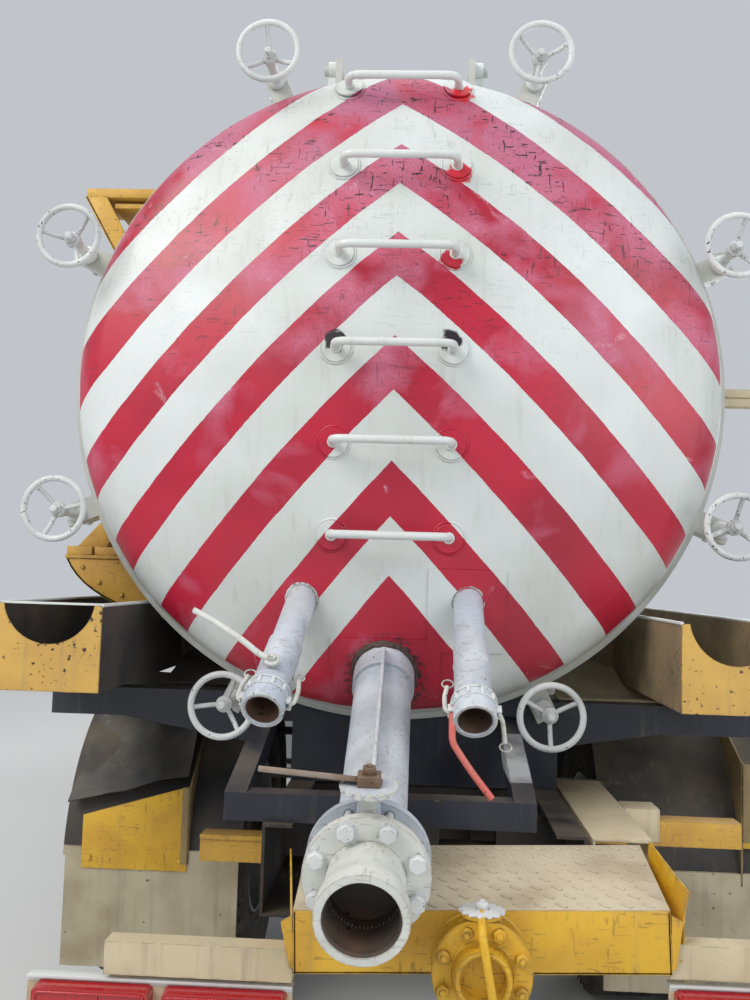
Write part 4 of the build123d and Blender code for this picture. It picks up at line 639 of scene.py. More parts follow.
# plain pale floor and soft studio light
bpy.ops.mesh.primitive_plane_add(size=80.0, location=(0, 0, 0))
floor = bpy.context.object
floor.name = "floor"
floorMaterial, floorTree, floorShader = startMaterial("floorPaint")
floorTone = mixColour(floorTree, noiseNode(floorTree, objectPlace(floorTree), 0.8, 4.0), srgb(206, 206, 204),
                      srgb(214, 214, 212))
finishMaterial(floorTree, floorShader, {"Base Color": floorTone, "Roughness": 0.85})
floor.data.materials.append(floorMaterial)

world = bpy.data.worlds.new("studio")
bpy.context.scene.world = world
world.use_nodes = True
backdrop = world.node_tree.nodes["Background"]
backdrop.inputs["Color"].default_value = (0.86, 0.90, 0.96, 1.0)
backdrop.inputs["Strength"].default_value = 0.62

# each lamp: place, what it lights, size, power, colour
lamps = (("keyLamp", (-5.5, rimY - 5.0, 7.5), (tank["x"], rimY, 1.9), 5.0, 560.0, (1.0, 0.97, 0.93)),
         ("fillLamp", (6.0, rimY - 5.0, 4.5), (tank["x"], rimY, 1.6), 5.0, 240.0, (0.95, 0.97, 1.0)),
         ("topLamp", (0.0, 0.0, 9.5), (0.0, 0.0, 0.0), 9.0, 230.0, (1.0, 1.0, 1.0)),
         ("frontLamp", (5.0, 10.0, 5.0), (0.0, 3.0, 1.5), 6.0, 430.0, (1.0, 0.98, 0.95)))
for name, spot, target, size, power, colour in lamps:
    data = bpy.data.lights.new(name, "AREA")
    data.size = size
    data.energy = power
    data.color = colour
    lamp = addObject(name, data)
    lamp.location = spot
    lamp.rotation_euler = (Vector(target) - Vector(spot)).to_track_quat("-Z", "Y").to_euler()
bpy.context.scene.view_settings.view_transform = "Standard"
print("camera, floor and lamps set")


# modelling helpers: each makes one loose object, placed in the frame
def pickOnly(piece):
    deselect()
    piece.select_set(True)
    bpy.context.view_layer.objects.active = piece


def shadeBy(angle):
    bpy.ops.object.shade_smooth_by_angle(angle=math.radians(angle))


def applyPlace(piece):
    pickOnly(piece)
    bpy.ops.object.transform_apply(location=True, rotation=True, scale=True)
    return piece


def applyModifiers(piece):
    pickOnly(piece)
    for modifier in list(piece.modifiers):
        bpy.ops.object.modifier_apply(modifier=modifier.name)


def thicken(piece, thickness):
    piece.modifiers.new("thickness", "SOLIDIFY").thickness = thickness
    applyModifiers(piece)


def softenEdges(piece, width, segments=2, angle=35):
    bevel = piece.modifiers.new("softEdges", "BEVEL")
    bevel.width = width
    bevel.segments = segments
    bevel.limit_method = "ANGLE"
    bevel.angle_limit = math.radians(angle)
    applyModifiers(piece)
    shadeBy(angle)


def block(centre, size, soft=0.003, segments=2):
    deselect()
    bpy.ops.mesh.primitive_cube_add(size=1.0, location=centre)
    piece = bpy.context.object
    piece.scale = size
    applyPlace(piece)
    if soft:
        softenEdges(piece, min(soft, min(size) * 0.45), segments)
    return piece


def blocks(*rows):
    # several blocks: centre, size, softness of the edges, segments
    return [block(*row) for row in rows]


def turnTo(way):
    return Vector(way).to_track_quat("Z", "Y").to_euler()


def rod(start, end, radius, sides=24, soft=0.0):
    start, end = Vector(start), Vector(end)
    deselect()
    bpy.ops.mesh.primitive_cylinder_add(vertices=sides, radius=radius, depth=(end - start).length,
                                        location=(start + end) / 2, rotation=turnTo(end - start))
    piece = applyPlace(bpy.context.object)
    if soft:
        softenEdges(piece, soft, 2, 40)
    else:
        shadeBy(40)
    return piece


def ring(centre, way, radius, thickness, major=48, minor=12):
    deselect()
    bpy.ops.mesh.primitive_torus_add(major_segments=major, minor_segments=minor, major_radius=radius,
                                     minor_radius=thickness, location=centre, rotation=turnTo(way))
    piece = applyPlace(bpy.context.object)
    bpy.ops.object.shade_smooth()
    return piece


def selectAll():
    bpy.ops.mesh.select_all(action="SELECT")


def extrudeBy(way):
    bpy.ops.mesh.extrude_region_move(TRANSFORM_OT_translate={"value": way})


def drawLine(points):
    # one vertex, extruded from point to point; the piece stays in edit mode
    deselect()
    bpy.ops.mesh.primitive_plane_add(size=0.001, location=points[0])
    piece = applyPlace(bpy.context.object)
    bpy.ops.object.mode_set(mode="EDIT")
    selectAll()
    bpy.ops.mesh.merge(type="CENTER")
    for here, there in zip(points, points[1:]):
        extrudeBy([after - before for before, after in zip(here, there)])
    selectAll()
    return piece


def leaveEdit():
    selectAll()
    bpy.ops.mesh.normals_make_consistent(inside=False)
    bpy.ops.object.mode_set(mode="OBJECT")


def spun(profile, origin, way, steps=48, smooth=35):
    # a profile of (distance from the axis, place along it) points, drawn and then spun
    piece = drawLine([(radius, 0, along) for radius, along in profile])
    bpy.ops.mesh.spin(steps=steps, angle=math.radians(360), center=(0, 0, 0), axis=(0, 0, 1))
    selectAll()
    bpy.ops.mesh.remove_doubles(threshold=0.00005)
    leaveEdit()
    piece.rotation_euler = turnTo(way)
    piece.location = origin
    applyPlace(piece)
    shadeBy(smooth)
    return piece


def bentTube(points, radius, bend=0.05, sides=12, cyclic=False):
    # a tube along straight runs whose corners are rounded
    rounded = []
    count = len(points)
    for index, point in enumerate(points):
        point = Vector(point)
        if not cyclic and index in (0, count - 1):
            rounded.append(point)
            continue
        toBefore, toAfter = Vector(points[index - 1]) - point, Vector(points[(index + 1) % count]) - point
        reach = min(bend, toBefore.length * 0.45, toAfter.length * 0.45)
        first, last = point + toBefore.normalized() * reach, point + toAfter.normalized() * reach
        for share in (step / 6 for step in range(7)):
            rounded.append(first * (1 - share) ** 2 + point * 2 * share * (1 - share) + last * share ** 2)
    curve = bpy.data.curves.new("tubeLine", "CURVE")
    curve.dimensions = "3D"
    curve.bevel_depth = radius
    curve.bevel_resolution = max(1, sides // 4)
    curve.use_fill_caps = not cyclic
    line = curve.splines.new("POLY")
    line.points.add(len(rounded) - 1)
    for spot, place in zip(line.points, rounded):
        spot.co = (*place, 1.0)
    line.use_cyclic_u = cyclic
    pickOnly(addObject("tube", curve))
    bpy.ops.object.convert(target="MESH")
    shadeBy(50)
    return bpy.context.object


def inPlane(plane, first, second, at):
    return {"XY": (first, second, at), "XZ": (first, at, second), "YZ": (at, first, second)}[plane]


def loopTube(plane, at, low, high, radius, bend, sides=8):
    # a closed tube round an upright rectangle in a plane
    corners = ((low[0], low[1]), (high[0], low[1]), (high[0], high[1]), (low[0], high[1]))
    return bentTube([inPlane(plane, *corner, at) for corner in corners], radius, bend, sides, True)


def outlinePlate(corners, thickness, plane="XY", at=0.0, soft=0.0015):
    # a flat plate of any outline: corners in the plane, thickness along its normal
    piece = drawLine([inPlane(plane, *corner, at) for corner in corners])
    bpy.ops.mesh.edge_face_add()
    selectAll()
    extrudeBy(inPlane(plane, 0, 0, thickness))
    leaveEdit()
    if soft:
        softenEdges(piece, soft, 2)
    return piece


def notchedPlate(notches, outer, inner, thickness, soft):
    # a disc with square notches, standing on the plane z = 0
    corners = []
    for step, turn in enumerate(turnsOf(notches * 4)):
        reach = outer if step % 4 in (0, 1) else inner
        corners.append((reach * math.cos(turn), reach * math.sin(turn)))
    return outlinePlate(corners, thickness, "XY", 0.0, soft)


def copyPiece(source, matrix):
    made = addObject(source.name, source.data.copy())
    made.data.transform(matrix)
    return made


def dropPiece(piece):
    bpy.data.objects.remove(piece, do_unlink=True)


def joinPieces(parts, name):
    deselect()
    for part in parts:
        part.select_set(True)
    bpy.context.view_layer.objects.active = parts[0]
    if len(parts) > 1:
        bpy.ops.object.join()
    joined = bpy.context.object
    joined.name = name
    joined.data.name = name
    return joined


def build(parts, name, body, paint, replaces=()):
    # make one piece of the parts, with its name, its finish, the body it rides and the solids it stands for
    piece = joinPieces(parts, name)
    piece.data.materials.clear()
    piece.data.materials.append(paints[paint])
    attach(piece, body)
    if replaces:
        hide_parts(*replaces)
    return piece


def toward(origin, way):
    # a matrix that puts local +Z along a direction, at a place
    return Matrix.Translation(origin) @ Vector(way).to_track_quat("Z", "Y").to_matrix().to_4x4()


def turned(piece, matrix):
    piece.data.transform(matrix)
    return piece


def boltRing(pattern, centre, way, spokes):
    return [copyPiece(pattern, toward(Vector(centre) + spoke, way)) for spoke in spokes]


def makeBolt(width, height, shank=0.0):
    # a hexagon head with a chamfer on a thin washer, standing on the plane z = 0
    deselect()
    bpy.ops.mesh.primitive_cylinder_add(vertices=6, radius=width / 2 / math.cos(math.radians(30)), depth=height,
                                        location=(0, 0, height / 2 + height * 0.12))
    head = applyPlace(bpy.context.object)
    softenEdges(head, width * 0.06, 1)
    parts = [head, rod((0, 0, 0), (0, 0, height * 0.14), width * 0.62, 16)]
    if shank:
        parts.append(rod((0, 0, height), (0, 0, height + shank), width * 0.28, 10, width * 0.04))
    return joinPieces(parts, "boltPattern")


def beadAlong(points, radius, roughness, seed, sides=8):
    # a lumpy closed weld bead that follows points on a surface
    chance = random.Random(seed)
    lumpy = [Vector(point) + Vector([chance.uniform(-1, 1) * roughness for axis in range(3)]) for point in points]
    return bentTube(lumpy, radius, 0.004, sides, True)


def footOfPipe(start, way, radius, count=48):
    # where a round pipe meets the dished door
    side = way.orthogonal().normalized()
    found = []
    for step in circle(count, side, way.cross(side).normalized(), radius):
        origin = start + step
        low, high = -0.25, 0.6
        for _ in range(34):
            middle = (low + high) / 2
            spot = origin + way * middle
            away = math.hypot(spot.x - tank["x"], spot.z - tank["z"])
            outside = (rimY - spot.y) > dishHeight(min(away, tank["radius"] - 0.0005))
            low, high = (middle, high) if outside else (low, middle)
        found.append(origin + way * low)
    return found


# the hand wheels that clamp the door: one is modelled standing on the rim plane, then set round the ring
clamp = {"circle": 1.130, "angles": (22.5, 67.5, 112.5, 157.5, 202.5, 244, 296, 337.5), "wheelBack": 0.230,
         "wheelRadius": 0.094, "bar": 0.0100, "forkCircle": 1.112, "forkBack": 0.055, "forkHalf": 0.026,
         "spokeAngles": (75, 20, 95, 50, 10, 65, 30, 80)}


def clampWheel():
    parts = [ring((0, 0, clamp["wheelBack"]), alongZ, clamp["wheelRadius"], clamp["bar"], 56, 14)]
    hubProfile = [(0.0, 0.172), (0.021, 0.172), (0.025, 0.178), (0.025, 0.198), (0.019, 0.206), (0.0, 0.206)]
    parts.append(spun(hubProfile, (0, 0, 0), alongZ, 28))
    for flat in circle(3, alongX, alongY, 1.0):
        points = [flat * 0.018 + alongZ * 0.188, flat * 0.062 + alongZ * 0.205,
                  flat * (clamp["wheelRadius"] - 0.003) + alongZ * (clamp["wheelBack"] - 0.002)]
        parts.append(bentTube(points, 0.0074, 0.03, 12))
    sleeve = [(0.0, 0.027), (0.027, 0.027), (0.029, 0.031), (0.029, 0.044), (0.022, 0.052), (0.017, 0.062),
              (0.017, 0.140), (0.020, 0.150), (0.020, 0.172), (0.0, 0.172)]
    parts.append(spun(sleeve, (0, 0, 0), alongZ, 24))
    thread = [(0.0, 0.200)]
    for step in range(7):
        thread += [(0.0118, 0.206 + step * 0.005), (0.0100, 0.2085 + step * 0.005)]
    parts.append(spun(thread + [(0.0, 0.241)], (0, 0, 0), alongZ, 16))
    parts.append(turned(makeBolt(0.030, 0.012), Matrix.Translation((0, 0, 0.205))))
    return joinPieces(parts, "clampPattern")


pattern = clampWheel()
ear = outlinePlate([(-0.030, -0.050), (0.022, -0.050), (0.034, -0.012), (0.034, 0.018), (0.020, 0.034),
                    (-0.008, 0.034), (-0.030, 0.010)], 0.010, "YZ", -0.005, 0.002)
wheels, forks = [], []
for angle, spokeTurn in zip(clamp["angles"], clamp["spokeAngles"]):
    out = Vector((math.cos(math.radians(angle)), 0, math.sin(math.radians(angle))))
    foot = atTank(0, 0, tank["z"]) + out * clamp["circle"]
    wheels.append(copyPiece(pattern, toward(foot, -alongY) @ Matrix.Rotation(math.radians(spokeTurn), 4, "Z")))
    fork = (Matrix.Translation(atTank(0, -clamp["forkBack"], tank["z"]))
            @ Matrix.Rotation(math.radians(90 - angle), 4, "Y") @ Matrix.Translation((0, 0, clamp["forkCircle"])))
    for offset in (-clamp["forkHalf"], clamp["forkHalf"]):
        forks.append(copyPiece(ear, fork @ Matrix.Translation((offset, 0, 0))))
    forks.append(turned(rod((-0.040, 0, 0.010), (0.040, 0, 0.010), 0.009, 14, 0.0015), fork))
    forks.append(turned(rod((-0.017, 0, 0.010), (0.017, 0, 0.010), 0.020, 18, 0.002), fork))
dropPiece(pattern)
dropPiece(ear)
build(wheels, "handwheels", "tank_door", "wheelPaint", ("clamp_handwheels",))
build(forks, "clampForks", "chassis", "tankWhite")
print("hand wheels and their forks")

# a low weld ring round each foot of the rungs, its paint cracked off in places
rungs = {"heights": (0.959, 0.661, 0.363, 0.065, -0.219, -0.494), "half": 0.175, "weldRadius": 0.048, "proud": 0.090,
         "bar": 0.0125}
beads = []
for number, height in enumerate(rungs["heights"]):
    for side in (-1, 1):
        around = [onDish(side * rungs["half"] + step.x, height + step.y)
                  for step in circle(28, alongX, alongY, rungs["weldRadius"])]
        beads.append(beadAlong(around, 0.0045, 0.0010, 40 + number * 2 + side))
build(beads, "rungWelds", "tank_door", "doorPaint")

# the discharge line's places, as in the source
line = {"x": tank["x"] - 0.008, "lean": math.radians(12.5), "mouthBack": 1.200, "mouthZ": 0.872, "front": 0.164,
        "flange": 0.024, "wafer": 0.056, "bend": 0.092, "pipe": 0.08415, "boltCircle": 0.120,
        "root": (-0.008, 0.250, 1.244)}
lineWay = Vector((0, math.cos(line["lean"]), math.sin(line["lean"])))
lineUp = Vector((0, -lineWay.z, lineWay.y))
mouth = Vector((line["x"], rimY - line["mouthBack"], line["mouthZ"]))
line["grip"] = line["flange"] * 2 + line["wafer"]
mitre = mouth + lineWay * (line["front"] + line["grip"] + line["bend"])
pipeRoot = atTank(*line["root"])
pipeWay = (pipeRoot - mitre).normalized()
innerFoot = [spot - pipeWay * 0.012 for spot in footOfPipe(pipeRoot, pipeWay, line["pipe"] + 0.011)]
welds = [beadAlong(footOfPipe(pipeRoot, pipeWay, line["pipe"] + 0.013), 0.0095, 0.0035, 7, 10),
         beadAlong(innerFoot, 0.0070, 0.0030, 9, 10)]
build(welds, "scorchedWeld", "tank_door", "scorchedWeld")

# flange bolts with their heads, shanks and nuts
stud, cap = makeBolt(0.034, 0.016, 0.010), makeBolt(0.036, 0.020)
spokes = circle(8, alongX, lineUp, line["boltCircle"], 22.5)
front = mouth + lineWay * line["front"]
bolts = boltRing(cap, front, -lineWay, spokes) + boltRing(stud, front + lineWay * line["grip"], lineWay, spokes)
bolts += [rod(front + spoke + lineWay * 0.02, front + spoke + lineWay * (line["grip"] - 0.004), 0.0095, 12)
          for spoke in spokes]
dropPiece(stud)
dropPiece(cap)
build(bolts, "flangeBolts", "tank_door", "wheelPaint")
print("welds and flange bolts")

# the valve's neck, notched plate and rusty lever, standing on the wafer body
valve = {"saddle": 0.108, "plate": 0.1865, "lever": 0.205, "leverLength": 0.275}
waferMiddle = front + lineWay * (line["flange"] + line["wafer"] / 2)
neckParts = [rod(waferMiddle + lineUp * 0.100 + alongX * side * 0.019,
                 waferMiddle + lineUp * 0.184 + alongX * side * 0.014, 0.0095, 12) for side in (-1, 1)]
neckParts.append(turned(block((0, 0, 0), (0.070, 0.042, 0.014)),
                        toward(waferMiddle + lineUp * valve["saddle"], lineUp)))
neckParts.append(turned(notchedPlate(14, 0.066, 0.055, 0.009, 0.0012),
                        toward(waferMiddle + lineUp * valve["plate"], lineUp)))
build(neckParts, "valveNeck", "tank_door", "pipePaint")
leverFoot = waferMiddle + lineUp * valve["lever"]
leverPlace = (Matrix.Translation(leverFoot + Vector((0.03 - valve["leverLength"] / 2, 0, 0.006)))
              @ Matrix.Rotation(math.radians(4), 4, "Y") @ Matrix.Rotation(-line["lean"], 4, "X"))
build([turned(block((0, 0, 0), (valve["leverLength"], 0.030, 0.013), 0.002), leverPlace),
       turned(block((0, 0, 0), (0.052, 0.046, 0.030), 0.004), toward(leverFoot, lineUp)),
       turned(makeBolt(0.028, 0.016, 0.006), toward(leverFoot + lineUp * 0.014, lineUp))],
      "valveLevers", "tank_door", "leverSteel", ("pipe_levers",))

# suction pipes: a slim tube and slip sleeve on each run, hose couplings with their cam arms and pull rings
runs = [(atTank(*start), atTank(*end)) for start, end in
        (((-0.263, 0.240, 1.489), (-0.309, 0.650, 1.209)), ((0.239, 0.240, 1.496), (0.244, 0.650, 1.200)))]
suction = {"radius": 0.0445, "sleeve": 0.0500, "sleeveAt": 0.215, "coupling": 0.057, "couplingLength": 0.078,
           "bore": 0.0455, "leverAt": 0.372, "ribs": 10, "ribCircle": 0.0585}
fittings, arms, cracks, tubes = [], [], [], []
for side, (start, end) in zip((-1, 1), runs):
    way, length = (end - start).normalized(), (end - start).length
    collar = length - suction["couplingLength"]
    tubes.append(spun([(0.0, -0.110), (suction["radius"], -0.110), (suction["radius"], suction["sleeveAt"]),
                       (suction["radius"] + 0.004, suction["sleeveAt"] + 0.001),
                       (suction["sleeve"], suction["sleeveAt"] + 0.006), (suction["sleeve"] + 0.0008, collar - 0.010),
                       (suction["coupling"] - 0.003, collar - 0.004), (suction["coupling"], collar),
                       (suction["coupling"], length - 0.004), (suction["coupling"] - 0.0025, length),
                       (suction["bore"] + 0.003, length), (suction["bore"], length - 0.004),
                       (suction["bore"], length - 0.112), (0.0, length - 0.113)], start, way, 56))
    across = (alongX - way * way.x).normalized()
    above = across.cross(way)
    above = above if above.z > 0 else -above
    for band in (0.292, 0.396):
        fittings.append(ring(start + way * band, way, suction["sleeve"], 0.0024, 40, 8))
    # coupling: stepped collar, round lip, ribs, and the lugs that hold its arms
    collarAt = end - way * suction["couplingLength"]
    for reach, radius, thickness in ((0.003, 0.0575, 0.0040), (0.030, 0.0578, 0.0032), (0.075, 0.0545, 0.0034)):
        fittings.append(ring(collarAt + way * reach, way, radius, thickness, 44, 8))
    for spoke in circle(suction["ribs"], across, above, suction["ribCircle"]):
        fittings.append(turned(block((0, 0, 0), (0.009, 0.006, 0.024), 0.0015),
                               toward(collarAt + way * 0.017 + spoke, way)))
    for arm in (-1, 1):
        lug = collarAt + way * 0.040 + across * arm * 0.062
        for cheek in (-1, 1):
            fittings.append(turned(block((0, 0, 0), (0.016, 0.006, 0.026), 0.002),
                                   Matrix.Translation(lug + above * cheek * 0.011)
                                   @ Matrix((across, above, way)).transposed().to_4x4()))
        armLine = [lug + way * 0.006, lug + across * arm * 0.014 - way * 0.004,
                   lug + across * arm * 0.016 - way * 0.050, lug + across * arm * 0.008 - way * 0.092]
        if side > 0 and arm > 0:
            armLine = [lug + way * 0.002, lug + across * 0.012 + way * 0.012 - above * 0.02,
                       lug + across * 0.020 + way * 0.034 - above * 0.075]
        pull = armLine[-1] + (armLine[-1] - armLine[-2]).normalized() * 0.012
        arms += [bentTube(armLine, 0.0065, 0.015, 10), ring(pull, above, 0.0155, 0.0022, 28, 8)]
    cracks.append(footOfPipe(start, -way, suction["radius"] + 0.003, 36))
build(tubes, "suctionTubes", "tank_door", "pipePaint", ("suction_pipes",))
build(fittings, "couplings", "tank_door", "wheelPaint")
build([beadAlong(crack, 0.0050, 0.0012, seed) for crack, seed in zip(cracks, (21, 22))], "suctionWelds", "tank_door",
      "crackedWeld")

# levers of the two suction pipes: a long white one on the left, a red coated one hanging on the right
leftWay = (runs[0][1] - runs[0][0]).normalized()
leftFoot = runs[0][0] + leftWay * suction["leverAt"]
leftUp = alongX.cross(leftWay)
leftUp = leftUp if leftUp.z > 0 else -leftUp
leftTop = leftFoot + leftUp * 0.066
leftBar = [leftTop + Vector(step) for step in ((0.010, -0.004, 0.0), (-0.030, 0.0, 0.012), (-0.085, 0.010, 0.052),
                                               (-0.165, 0.026, 0.098), (-0.225, 0.036, 0.126))]
build(arms + [bentTube(leftBar, 0.0085, 0.05, 12),
              rod(leftFoot + leftUp * 0.046, leftTop + leftUp * 0.004, 0.012, 16, 0.001),
              ring(leftTop, leftUp, 0.016, 0.006, 24, 8),
              turned(makeBolt(0.020, 0.012, 0.004), toward(leftTop + leftUp * 0.002, leftUp))],
      "camArms", "tank_door", "flangeWhite")
rightEnd = runs[1][1]
rightWay = (rightEnd - runs[1][0]).normalized()
redPlaces = ((0.066, 0.640, 1.185), (0.066, 0.648, 1.147), (0.113, 0.655, 1.079), (0.170, 0.660, 1.010))
redLine = [rightEnd - rightWay * 0.040 + Vector((-0.058, 0, 0.010))] + [Vector((x, rimY - back, z))
                                                                        for x, back, z in redPlaces]
build([bentTube(redLine, 0.0090, 0.05, 14)], "redLever", "tank_door", "salmonRed")

# rungs: a pad at each foot that follows the dish, a round bar bent at both ends
padProfile = [(0.0, 0.0), (0.044, 0.0), (0.045, 0.002), (0.045, 0.006), (0.043, 0.008), (0.0, 0.008)]
bars, pads = [], []
for height in rungs["heights"]:
    ends = []
    for x in (-rungs["half"], rungs["half"]):
        ends.append(onDish(x, height))
        pads.append(spun(padProfile, ends[-1], dishNormal(x, height), 36))
    out = min(ends[0].y, ends[1].y) - rungs["proud"]
    bars.append(bentTube([ends[0], Vector((ends[0].x, out, ends[0].z)), Vector((ends[1].x, out, ends[1].z)),
                          ends[1]], rungs["bar"], 0.045, 16))
    bars += [ring(foot - alongY * 0.010, -alongY, 0.0140, 0.0040, 28, 8) for foot in ends]
build(bars, "rungBars", "tank_door", "tankWhite", ("door_rungs",))
build(pads, "rungPads", "tank_door", "doorPaint")

# closed liners inside the three mouths: rust scale, darkened as painted shade of the deep bores
bores = [spun([(0.0780, 0.012), (0.0818, 0.004), (0.0822, 0.020), (0.0800, 0.034), (0.0775, 0.040), (0.0770, 0.135),
               (0.0, 0.1355)], mouth, lineWay, 56)]
for start, end in runs:
    bores.append(spun([(0.0420, 0.004), (0.0452, 0.006), (0.0454, 0.016), (0.0430, 0.022), (0.0395, 0.050),
                       (0.0390, 0.110), (0.0, 0.1105)], end, (start - end).normalized(), 40))
build(bores, "boreLinerRustAndShade", "tank_door", "boreRustAndShade")
print("pipe fittings, levers, rungs and bores")

# bumper box: sloped tread top, front and folded wings, a little higher on the right as in the photograph
bumper = {"x": 0.135, "half": 0.437, "low": 0.655, "front": 0.800, "back": 0.868, "frontBack": 0.870,
          "rearBack": 0.5603, "sheet": 0.006, "tilt": 2.4, "rows": 8, "bars": 17}
frontY, backY = rimY - bumper["frontBack"], rimY - bumper["rearBack"]
boxLeft, boxRight = bumper["x"] - bumper["half"], bumper["x"] + bumper["half"]


def tilted(parts, name):
    # the box's parts joined and leant about its middle
    middle = Matrix.Translation((bumper["x"], 0, (bumper["low"] + bumper["front"]) / 2))
    return [turned(joinPieces(parts, name),
                   middle @ Matrix.Rotation(math.radians(-bumper["tilt"]), 4, "Y") @ middle.inverted())]


slope = Vector((0, backY - frontY, bumper["back"] - bumper["front"]))
treadParts = [outlinePlate([(frontY, bumper["front"]), (backY, bumper["back"]),
                            (backY, bumper["back"] - bumper["sheet"]),
                            (frontY + 0.004, bumper["front"] - bumper["sheet"])], 2 * bumper["half"], "YZ", boxLeft,
                           0.0012)]
bar = turned(rod((-0.014, 0, 0), (0.014, 0, 0), 0.0060, 10, 0.002), Matrix.Diagonal((1, 0.85, 0.42, 1)))
treadTurn = Matrix.Rotation(math.atan2(slope.z, slope.y), 4, "X") @ Matrix.Rotation(math.radians(-40), 4, "Z")
spacing = 2 * bumper["half"] / (bumper["bars"] + 0.4)
for row in range(bumper["rows"]):
    for column in range(bumper["bars"]):
        spot = Vector((boxLeft + (column + 0.5 + 0.5 * (row % 2)) * spacing, frontY, bumper["front"]))
        spot += slope * ((row + 0.5) / bumper["rows"])
        treadParts.append(copyPiece(bar, Matrix.Translation(spot) @ treadTurn))
dropPiece(bar)
build(tilted(treadParts, "bumperTread"), "bumperTread", "chassis", "chequerPlate", ("bumper_box",))
faces = [outlinePlate([(boxLeft, bumper["low"]), (boxRight, bumper["low"]), (boxRight, bumper["front"] - 0.001),
                       (boxLeft, bumper["front"] - 0.001)], 0.006, "XZ", frontY, 0.002)]
faces += blocks(((bumper["x"], frontY + 0.020, bumper["low"] + 0.003), (2 * bumper["half"], 0.040, 0.006), 0.001),
                ((bumper["x"], backY - 0.003, 0.760), (2 * bumper["half"] - 0.02, 0.006, 0.200), 0.001))
for side, edgeX, innerX in ((-1, boxLeft, boxLeft), (1, boxRight, boxRight - 0.006)):
    faces.append(outlinePlate([(frontY, bumper["low"]), (backY, bumper["low"]), (backY, bumper["back"] - 0.004),
                               (frontY, bumper["front"] - 0.004)], 0.006, "YZ", innerX, 0.001))
    faces.append(outlinePlate([(edgeX - side * 0.002, bumper["low"] + 0.010),
                               (edgeX + side * 0.010, bumper["low"] + 0.012),
                               (edgeX + side * 0.030, bumper["front"] - 0.028),
                               (edgeX + side * 0.002, bumper["front"] - 0.012)], 0.006, "XZ", frontY + 0.001, 0.0015))
wing = outlinePlate([(frontY - 0.002, bumper["low"] + 0.012), (frontY + 0.250, bumper["low"] + 0.055),
                     (frontY + 0.295, bumper["back"] - 0.004), (frontY + 0.120, bumper["back"] - 0.016),
                     (frontY + 0.010, bumper["front"] - 0.030)], 0.005, "YZ", 0.0, 0.001)
faces.append(turned(wing, Matrix.Translation((boxLeft - 0.006, frontY, 0))
                    @ Matrix.Rotation(math.radians(7.5), 4, "Z") @ Matrix.Translation((0, -frontY, 0))))
build(tilted(faces, "bumperSheets"), "bumperSheets", "chassis", "boxYellow")

# lower outlet: flange bolts, notched plate and the clamp of its lever
outlet = {"x": 0.129, "z": 0.712, "stations": (0.060, 0.132), "thick": 0.020, "circle": 0.092, "stem": 0.106}
outletY = frontY - 0.0003


def atOutlet(back, up=0.0):
    return Vector((outlet["x"], outletY - back, outlet["z"] + up))


cap = makeBolt(0.026, 0.014, 0.006)
lowParts = []
for station in outlet["stations"]:
    lowParts += boltRing(cap, atOutlet(station + outlet["thick"]), -alongY,
                         circle(8, alongX, alongZ, outlet["circle"], 22.5))
    lowParts.append(ring(atOutlet(station + 0.001), alongY, 0.1085, 0.0022, 64, 8))
    lowParts.append(ring(atOutlet(station + outlet["thick"]), alongY, 0.0700, 0.0035, 48, 8))
dropPiece(cap)
lowParts.append(ring(atOutlet(0.191), alongY, 0.0560, 0.0050, 48, 10))
lowParts.append(spun([(0.058, 0.0), (0.066, 0.002), (0.068, 0.010), (0.060, 0.016)], atOutlet(0.002), -alongY, 40))
build(lowParts, "outletBolts", "chassis", "boxYellow")
stemAt = Vector((outlet["x"], frontY - outlet["stem"], outlet["z"]))
build([turned(notchedPlate(14, 0.052, 0.045, 0.006, 0.001), Matrix.Translation(stemAt + alongZ * 0.1185)),
       turned(makeBolt(0.024, 0.014, 0.006), Matrix.Translation(stemAt + alongZ * 0.1245))],
      "outletNotches", "chassis", "wheelPaint")
print("bumper box and outlet")

# plates and frames beside the tank: the curved bracket and open frame on the left, a short arm on the right
bracketY, frameY, armY = rimY + 0.180, rimY + 0.330, rimY + 0.230
lowEdge = [tuple(start * (1 - share) ** 2 + bow * 2 * share * (1 - share) + end * share ** 2
                 for start, bow, end in ((-1.262, -1.190, -0.850), (1.600, 1.440, 1.388)))
           for share in (step / 10 for step in range(11))]
rimEdge = [(tank["x"] + 1.062 * math.cos(turn), tank["z"] + 1.062 * math.sin(turn))
           for turn in (math.radians(227 - 2.5 * step) for step in range(7))]
bracketParts = [outlinePlate(lowEdge + rimEdge, 0.006, "XZ", bracketY, 0.0012),
                outlinePlate(lowEdge + [(x + 0.004, z + 0.005) for x, z in reversed(lowEdge)], 0.260, "XZ", bracketY,
                             0.0),
                outlinePlate([(-1.238, 1.632), (-1.130, 1.632), (-1.055, 1.762), (-1.085, 1.800)], 0.250, "XZ",
                             bracketY + 0.010, 0.003),
                outlinePlate([(-1.120, 1.640), (-1.060, 1.640), (-1.050, 1.700)], 0.008, "XZ", bracketY + 0.1, 0.001)]
bracketParts += blocks(((-1.130, bracketY + 0.130, 1.607), (0.270, 0.270, 0.012), 0.002),
                       ((-1.215, bracketY + 0.010, 1.626), (0.090, 0.030, 0.036), 0.003),
                       ((-1.095, bracketY + 0.020, 1.628), (0.140, 0.040, 0.030), 0.004))
bracketParts += [rod((x + 0.02, bracketY - 0.006, z + 0.03), (x + 0.02, bracketY + 0.008, z + 0.03), 0.007, 12, 0.001)
                 for x, z in lowEdge[2::2]]
build(bracketParts, "sideBracket", "chassis", "yellow")
